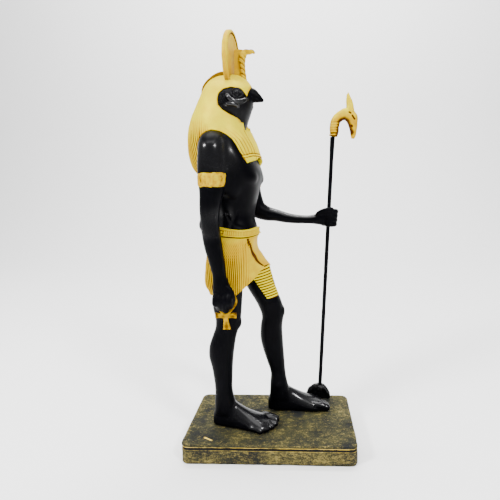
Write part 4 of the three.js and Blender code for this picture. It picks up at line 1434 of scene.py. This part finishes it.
def kilt_form():
    """Wrapped kilt: the near panel is pleated and lies over the flap that crosses the front."""
    around, along = 1440, 64
    rows = blend(KILT, along)
    t = rows[:, 0, None]
    front, back, half, shear = (rows[:, k, None] for k in range(1, 5))
    a = np.linspace(0, 360, around, endpoint=False)[None, :]
    a = np.where(a > 180, a - 360, a)
    opening = np.where(a < 0, np.clip((-a - 10) / 50, 0, 1), smooth(a, 50, 105))
    z = lerp(KILT_TOP + belt_level(np.abs(a)), lerp(KILT_FRONT, KILT_HEM, opening), t)
    # Pleats hang straight down on the sides, lean a little behind and spread with the cloth at the back.
    bent = np.clip(np.abs(a), 0, PLEATS_TURN_IN) * np.sign(a)
    ahead, aside = oval(np.radians(bent), front, back, half, KILT_SQUARE)
    place = ahead + shear * aside
    lean = 0.1 * smooth(place, -14, -32) * (KILT_TOP - z)
    across = place - lean - (np.abs(a) - np.abs(bent)) * PLEAT_PER_DEGREE
    pleat = groove(across / chosen("pleat_pitch"), 0.44) * smooth(np.abs(a), 24, 48)
    edge = read_smooth(WRAP, t)
    over = window(a, WRAP_BACK - 2, WRAP_BACK + 1, edge - 0.6, edge + 1.2)
    flap = window(a, edge, edge + 2, 36, 42)
    strength = smooth(t, 0.02, 0.12) * lerp(1, 0.25, flap)
    wide = lerp(2.6, 5, np.exp(-(((t - 0.6) / 0.25) ** 2)))
    # Painted shade: the gap at the wrap's edge is carved a little and painted dark as its shade.
    gap = np.exp(-(((a - edge - 0.9 * wide) / wide) ** 2))
    grow = 0.9 * over - chosen("pleat_depth") * pleat * strength - 0.4 * gap
    x, y = oval(np.radians(a), front, back, half, KILT_SQUARE, grow)
    drawn = read_smooth(DRAWN_IN, t) * window(a, -25, 12, 90, 140)
    form = skin(np.stack([x + shear * y - drawn, y, z + 0 * x], -1))
    # How dark the pleat lines are: random, and darker in one spot on the near side.
    pleat_darkness = 0.75 + 0.5 * grain(form.points * [1, 1, 0.25], 4.5, 14)
    x, y, z = form.points.T
    middle_x, middle_z, long, tall = DARKER_PLEATS_SPOT
    pleat_darkness += 0.8 * np.exp(-(((x - middle_x) / long) ** 2) - ((z - middle_z) / tall) ** 2) * (y < 0)
    marks, wrap_gap_shade, crossed = (
        np.concatenate([(part + 0 * pleat).ravel(), [0, 0]]) for part in (pleat * strength, gap, flap)
    )
    # The pleat lines carry the antiquing; the wrap's gap and, a little, the flap are painted darker as shade.
    form.relief = 0.16 - 1.4 * marks * np.clip(pleat_darkness, 0.4, 1.4) - 2.4 * wrap_gap_shade - 0.1 * crossed
    return form


def belt_form():
    """Belt with plain borders, upright ticks between them and a small square badge over each hip."""
    up = np.linspace(0, BELT_TALL, 50)
    out = read_straight(BELT, up)[:, None]
    t = up / BELT_TALL
    front, back, half = (lerp(low, high, t) for low, high in zip(*BELT_ENDS))
    rows = np.stack([BELT_FOOT + BELT_SQUEEZE * up, front, back, 0 * t, half, 0 * t + KILT_SQUARE], 1)
    around = 960
    a = full_turn(around)[None, :]
    rise = up[:, None]
    field = window(rise, 2.5, 2.8, 5.6, 5.9)
    side = from_front(a)
    off_badge = np.maximum(np.abs(side - BADGE_ANGLE) * 0.33, np.abs(rise - BADGE_UP) * 1.1)
    badge, edging = smooth(off_badge, 2.1, 1.9), smooth(np.abs(off_badge - 1.15), 0.5, 0.15)
    ticks = groove(np.arange(around)[None, :] / 10, 0.3) * field * (1 - badge)
    grow = out - 0.25 * ticks + 0.35 * badge - 0.3 * edging * badge
    rings = level(rows, around, len(rows), grow)
    rings[..., 2] += belt_level(side, t[:, None])
    border = smooth(np.abs(rise - 2.45), 0.3, 0.1) + smooth(np.abs(rise - 5.95), 0.3, 0.1)
    # Painted shadow: the recessed strip along the belt's foot is painted dark as the shadow under the belt.
    under = window(rise, 0.3, 0.8, 1.4, 1.6)
    return skin(rings, 0.45 - 0.9 * ticks - 0.6 * border - 1.3 * edging * badge - 2.2 * under)


def panel_form():
    """Striped tab on the left thigh, with bands that rise towards its front edge."""
    along, around = 170, 130
    rows = blend([row for row in blend(LEFT_LEG, 600) if 101 < row[0] < 144], along)
    rings = level(rows, around, along)
    middle, deep = (rows[:, 1] + rows[:, 2])[:, None] / 2, (rows[:, 1] - rows[:, 2])[:, None] / 2
    x, y, z = np.moveaxis(rings, -1, 0)

    def line(x, height, middle):
        return groove((height - (x - middle) * PANEL_SLOPE - PANEL_FOOT) / PANEL_PITCH, 0.32)

    height = z + (x - middle) * PANEL_SLOPE
    lift = 1.75 - 0.5 * line(x, height, middle)
    x = middle + (x - middle) * (1 + lift / deep)
    side = rows[:, 3, None]
    y = side + (y - side) * (1 + lift / rows[:, 4, None])
    made = carved(skin(np.stack([x, y, height], -1)), prism(PANEL_OUTLINE, -6, 9), "INTERSECT")
    x, _, z = made.points.T
    front, back, *_ = at_height(LEFT_LEG, z)
    made.relief = 1.1 - 4.6 * line(x, z, (front + back) / 2)
    return made


class STATUE_OT_kilt(bpy.types.Operator):
    """Make the pleated kilt, its belt and the striped thigh panel"""

    bl_idname = "statue.kilt"
    bl_label = "Kilt, belt and panel"

    def execute(self, context):
        gold_piece("kilt", kilt_form().turned())
        gold_piece("belt", belt_form().turned())
        gold_piece("thigh_panel", panel_form())
        return {"FINISHED"}


# Ankh
def ankh_parts():
    ring = []
    for a in np.linspace(-90, 270, 49):
        c, s = cos_sin(a)
        t = (s + 1) / 2
        half = ANKH_LOOP * c * lerp(0.5, 1, smooth(t, 0, 0.55))
        ring.append([ANKH_X + half, ANKH_Y, lerp(ANKH_BAR + 1, ANKH_TOP, t)])
    arms = [
        [
            [[ANKH_X + side * reach, ANKH_Y + b, ANKH_BAR + rise + a * tall] for a, b in SQUARE_CORNERS]
            for reach, rise, tall in ANKH_ARM
        ]
        for side in (-1, 1)
    ]
    stem = [
        [[ANKH_X + shift + a * wide, ANKH_Y + b, z] for a, b in SQUARE_CORNERS]
        for z, shift, wide in ANKH_STEM
    ]
    return [bar(ring, 1.15, 16, 120, 0.97), *(skin(np.array(rings)) for rings in (*arms, stem))]


class STATUE_OT_ankh(bpy.types.Operator):
    """Make the cast ankh that hangs in the right fist"""

    bl_idname = "statue.ankh"
    bl_label = "Ankh"

    def execute(self, context):
        form = fused(ankh_parts(), chosen("head_voxel"), 3)
        form = pushed(form, grain(form.points, 1.6, 9) * 0.06, grain(form.points, 2.2, 10) * 0.3 - 0.46)
        gold_piece("gold_ankh", form, "ankh")
        return {"FINISHED"}


# Staff
def rod_form():
    """Slim rod, a little uneven under its paint, thicker where the head slips over it."""
    low = np.array([ROD_LOW[0] + ROD_RADIUS, STAFF_Y, ROD_LOW[2]])
    high = np.array([ROD_HIGH[0] - ROD_RADIUS * ROD_SWELL, STAFF_Y, ROD_HIGH[2]])
    t = np.linspace(0, 1, 200)[:, None, None]
    radius = ROD_RADIUS * lerp(1, ROD_SWELL, smooth(t, 0.9, 1))
    form = skin(lerp(low, high, t) + radius * circle(28))
    inside = (form.points[:, 2] > low[2] + 0.1) & (form.points[:, 2] < high[2] - 0.1)
    return pushed(form, np.minimum(grain(form.points, 6, 11), 0) * 0.12 * inside)


def staff_head_parts():
    parts = [skin(sweep(in_plane(NECK, STAFF_Y), 48, 120))]
    ring = [[RING_X + RING_RADIUS * c, STAFF_Y + RING_RADIUS * s, RING_Z] for c, s in closed_circle(13)]
    parts.append(bar(ring, 0.7, 12, 60, 0.98))
    for side in (-1, 1):
        ear = [[x, STAFF_Y + side * off, *rest] for x, off, *rest in EAR]
        parts.append(skin(sweep(ear, 24, 40)))
        parts += [ball((x, STAFF_Y + side * off, z), radii, 16) for x, off, z, radii in FACE_BUMPS]
    return parts


def staff_foot_parts():
    parts = []
    for side in (-1, 1):
        prong = [
            [FORK_X + side * off - 0.7 * off / PRONG[-1][0], STAFF_Y, *rest] for off, *rest in PRONG
        ]
        parts.append(skin(sweep(prong, 40, 60, 2.4)))
    collar = skin(sweep(in_plane(COLLAR, STAFF_Y), 40, 30))
    return [*parts, collar, prism(WEB, STAFF_Y - 1.2, STAFF_Y + 1.2)]


class STATUE_OT_staff(bpy.types.Operator):
    """Make the staff: slim rod, gold animal head and forked foot"""

    bl_idname = "statue.staff"
    bl_label = "Staff"

    def execute(self, context):
        piece("black_rod", rod_form(), satin_black(), "staff_rod")
        head = fused(staff_head_parts(), chosen("head_voxel"), 3)
        x, _, z = head.points.T
        strokes = smooth(off_lines(head.points, *EYE_STROKES), 0.9, 0.35)
        rings = groove((z - 242.3) / 2, 0.3) * smooth(x, 57, 55) * smooth(z, 244, 243)
        under = window(z, 233.4, 233.7, 234.2, 234.6) * smooth(x, 58, 56)
        # Painted highlight and shade on the staff head: lighter towards its top and where it faces up, darker
        # near the hollow under the neck; the grain adds tone that differs at random.
        paint = 0.6 * smooth(z, 244, 256) - 0.75 * smooth(off_lines(head.points, NECK_ARCH), 3.6, 0.6)
        paint += 0.3 * normals(head)[:, 2] + grain(head.points, 3, 13) * 0.3 - 0.06
        depth = 0.3 * strokes + 0.15 * rings + 0.2 * under
        paint -= 1.5 * strokes + 0.5 * rings + 1.5 * under
        head = pushed(head, grain(head.points, 2, 12) * 0.1 - depth, paint)
        gold_piece("staff_top", head, "staff_head")
        fork = fused(staff_foot_parts(), chosen("head_voxel"), 3)
        fork = pushed(fork, grain(fork.points, 4.2, 15) * 0.55, 0.6 + 0 * fork.relief)
        fork.points[:, 2] = np.maximum(fork.points[:, 2], SOLE)
        black_piece("staff_fork", fork, "staff_foot")
        return {"FINISHED"}


# Stage
def area_light(name, place, target, size, power_w):
    data = bpy.data.lights.new(name, "AREA")
    data.shape = "RECTANGLE"
    data.size, data.size_y = size
    data.energy = power_w
    light = added(name, data)
    light.location = place
    light.rotation_euler = (Vector(target) - Vector(place)).to_track_quat("-Z", "Y").to_euler()


def backdrop():
    """Floor that curves up into a back wall."""
    bend, start, wall, half = 0.5, 0.7, 2.2, 2.6
    profile = [[-1.8, 0.0], [start, 0.0]]
    turns = np.linspace(0.1, math.pi / 2, 16)
    profile += [[start + bend * math.sin(t), bend - bend * math.cos(t)] for t in turns]
    profile.append([start + bend, wall])
    points = [[x, y, z] for y, z in profile for x in (-half, half)]
    faces = [(2 * k, 2 * k + 1, 2 * k + 3, 2 * k + 2) for k in range(len(profile) - 1)]
    return Form(points, faces).mesh("floor", 1.0)


def camera():
    """Camera of the reference view: a long look at the figure's right side, a little from above."""
    yaw, pitch, roll = map(math.radians, CAMERA_TURN)
    data = bpy.data.cameras.new("camera")
    data.sensor_width = 36
    data.lens = 28.8
    data.shift_x = -0.06
    data.clip_start = 0.01
    turn = Matrix.Rotation(yaw, 4, "Z") @ Matrix.Rotation(math.pi / 2 - pitch, 4, "X")
    made = added("camera", data)
    made.matrix_world = Matrix.Translation(CAMERA_PLACE) @ turn @ Matrix.Rotation(roll, 4, "Z")
    bpy.context.scene.camera = made


class STATUE_OT_stage(bpy.types.Operator):
    """Make the pale floor, soft studio lights and camera"""

    bl_idname = "statue.stage"
    bl_label = "Stage"

    def execute(self, context):
        floor = added("floor", backdrop())
        floor.data.materials.append(pale_paper())
        for light in LIGHTS:
            area_light(*light)
        world = bpy.data.worlds.new("studio")
        world.use_nodes = True
        sky = world.node_tree.nodes["Background"].inputs
        sky["Color"].default_value = (1, 1, 1, 1)
        sky["Strength"].default_value = 0.65
        context.scene.world = world
        camera()
        return {"FINISHED"}


class STATUE_PT_panel(bpy.types.Panel):
    """The pieces of the figurine, their sizes and their colours"""

    bl_idname = "STATUE_PT_panel"
    bl_label = "Figurine"
    bl_space_type = "VIEW_3D"
    bl_region_type = "UI"
    bl_category = "Figurine"

    def draw(self, context):
        for operator in OPERATORS:
            self.layout.operator(operator.bl_idname)
        for group in (context.scene.statue_sizes, context.scene.statue_colours):
            box = self.layout.box()
            for name in group.__annotations__:
                box.prop(group, name)


OPERATORS = (
    STATUE_OT_stage,
    STATUE_OT_plinth,
    STATUE_OT_body,
    STATUE_OT_head,
    STATUE_OT_headdress,
    STATUE_OT_sun_disc,
    STATUE_OT_armlets,
    STATUE_OT_kilt,
    STATUE_OT_ankh,
    STATUE_OT_staff,
)
CLASSES = (StatueSizes, StatueColours, *OPERATORS, STATUE_PT_panel)


def register():
    for cls in CLASSES:
        bpy.utils.register_class(cls)
    bpy.types.Scene.statue_sizes = bpy.props.PointerProperty(type=StatueSizes)
    bpy.types.Scene.statue_colours = bpy.props.PointerProperty(type=StatueColours)


def unregister():
    del bpy.types.Scene.statue_colours
    del bpy.types.Scene.statue_sizes
    for cls in reversed(CLASSES):
        bpy.utils.unregister_class(cls)


def main():
    register()
    for operator in OPERATORS:
        group, name = operator.bl_idname.split(".")
        if getattr(getattr(bpy.ops, group), name)() != {"FINISHED"}:
            raise RuntimeError(f"{operator.bl_label} wasn't made")


if __name__ == "__main__":
    main()
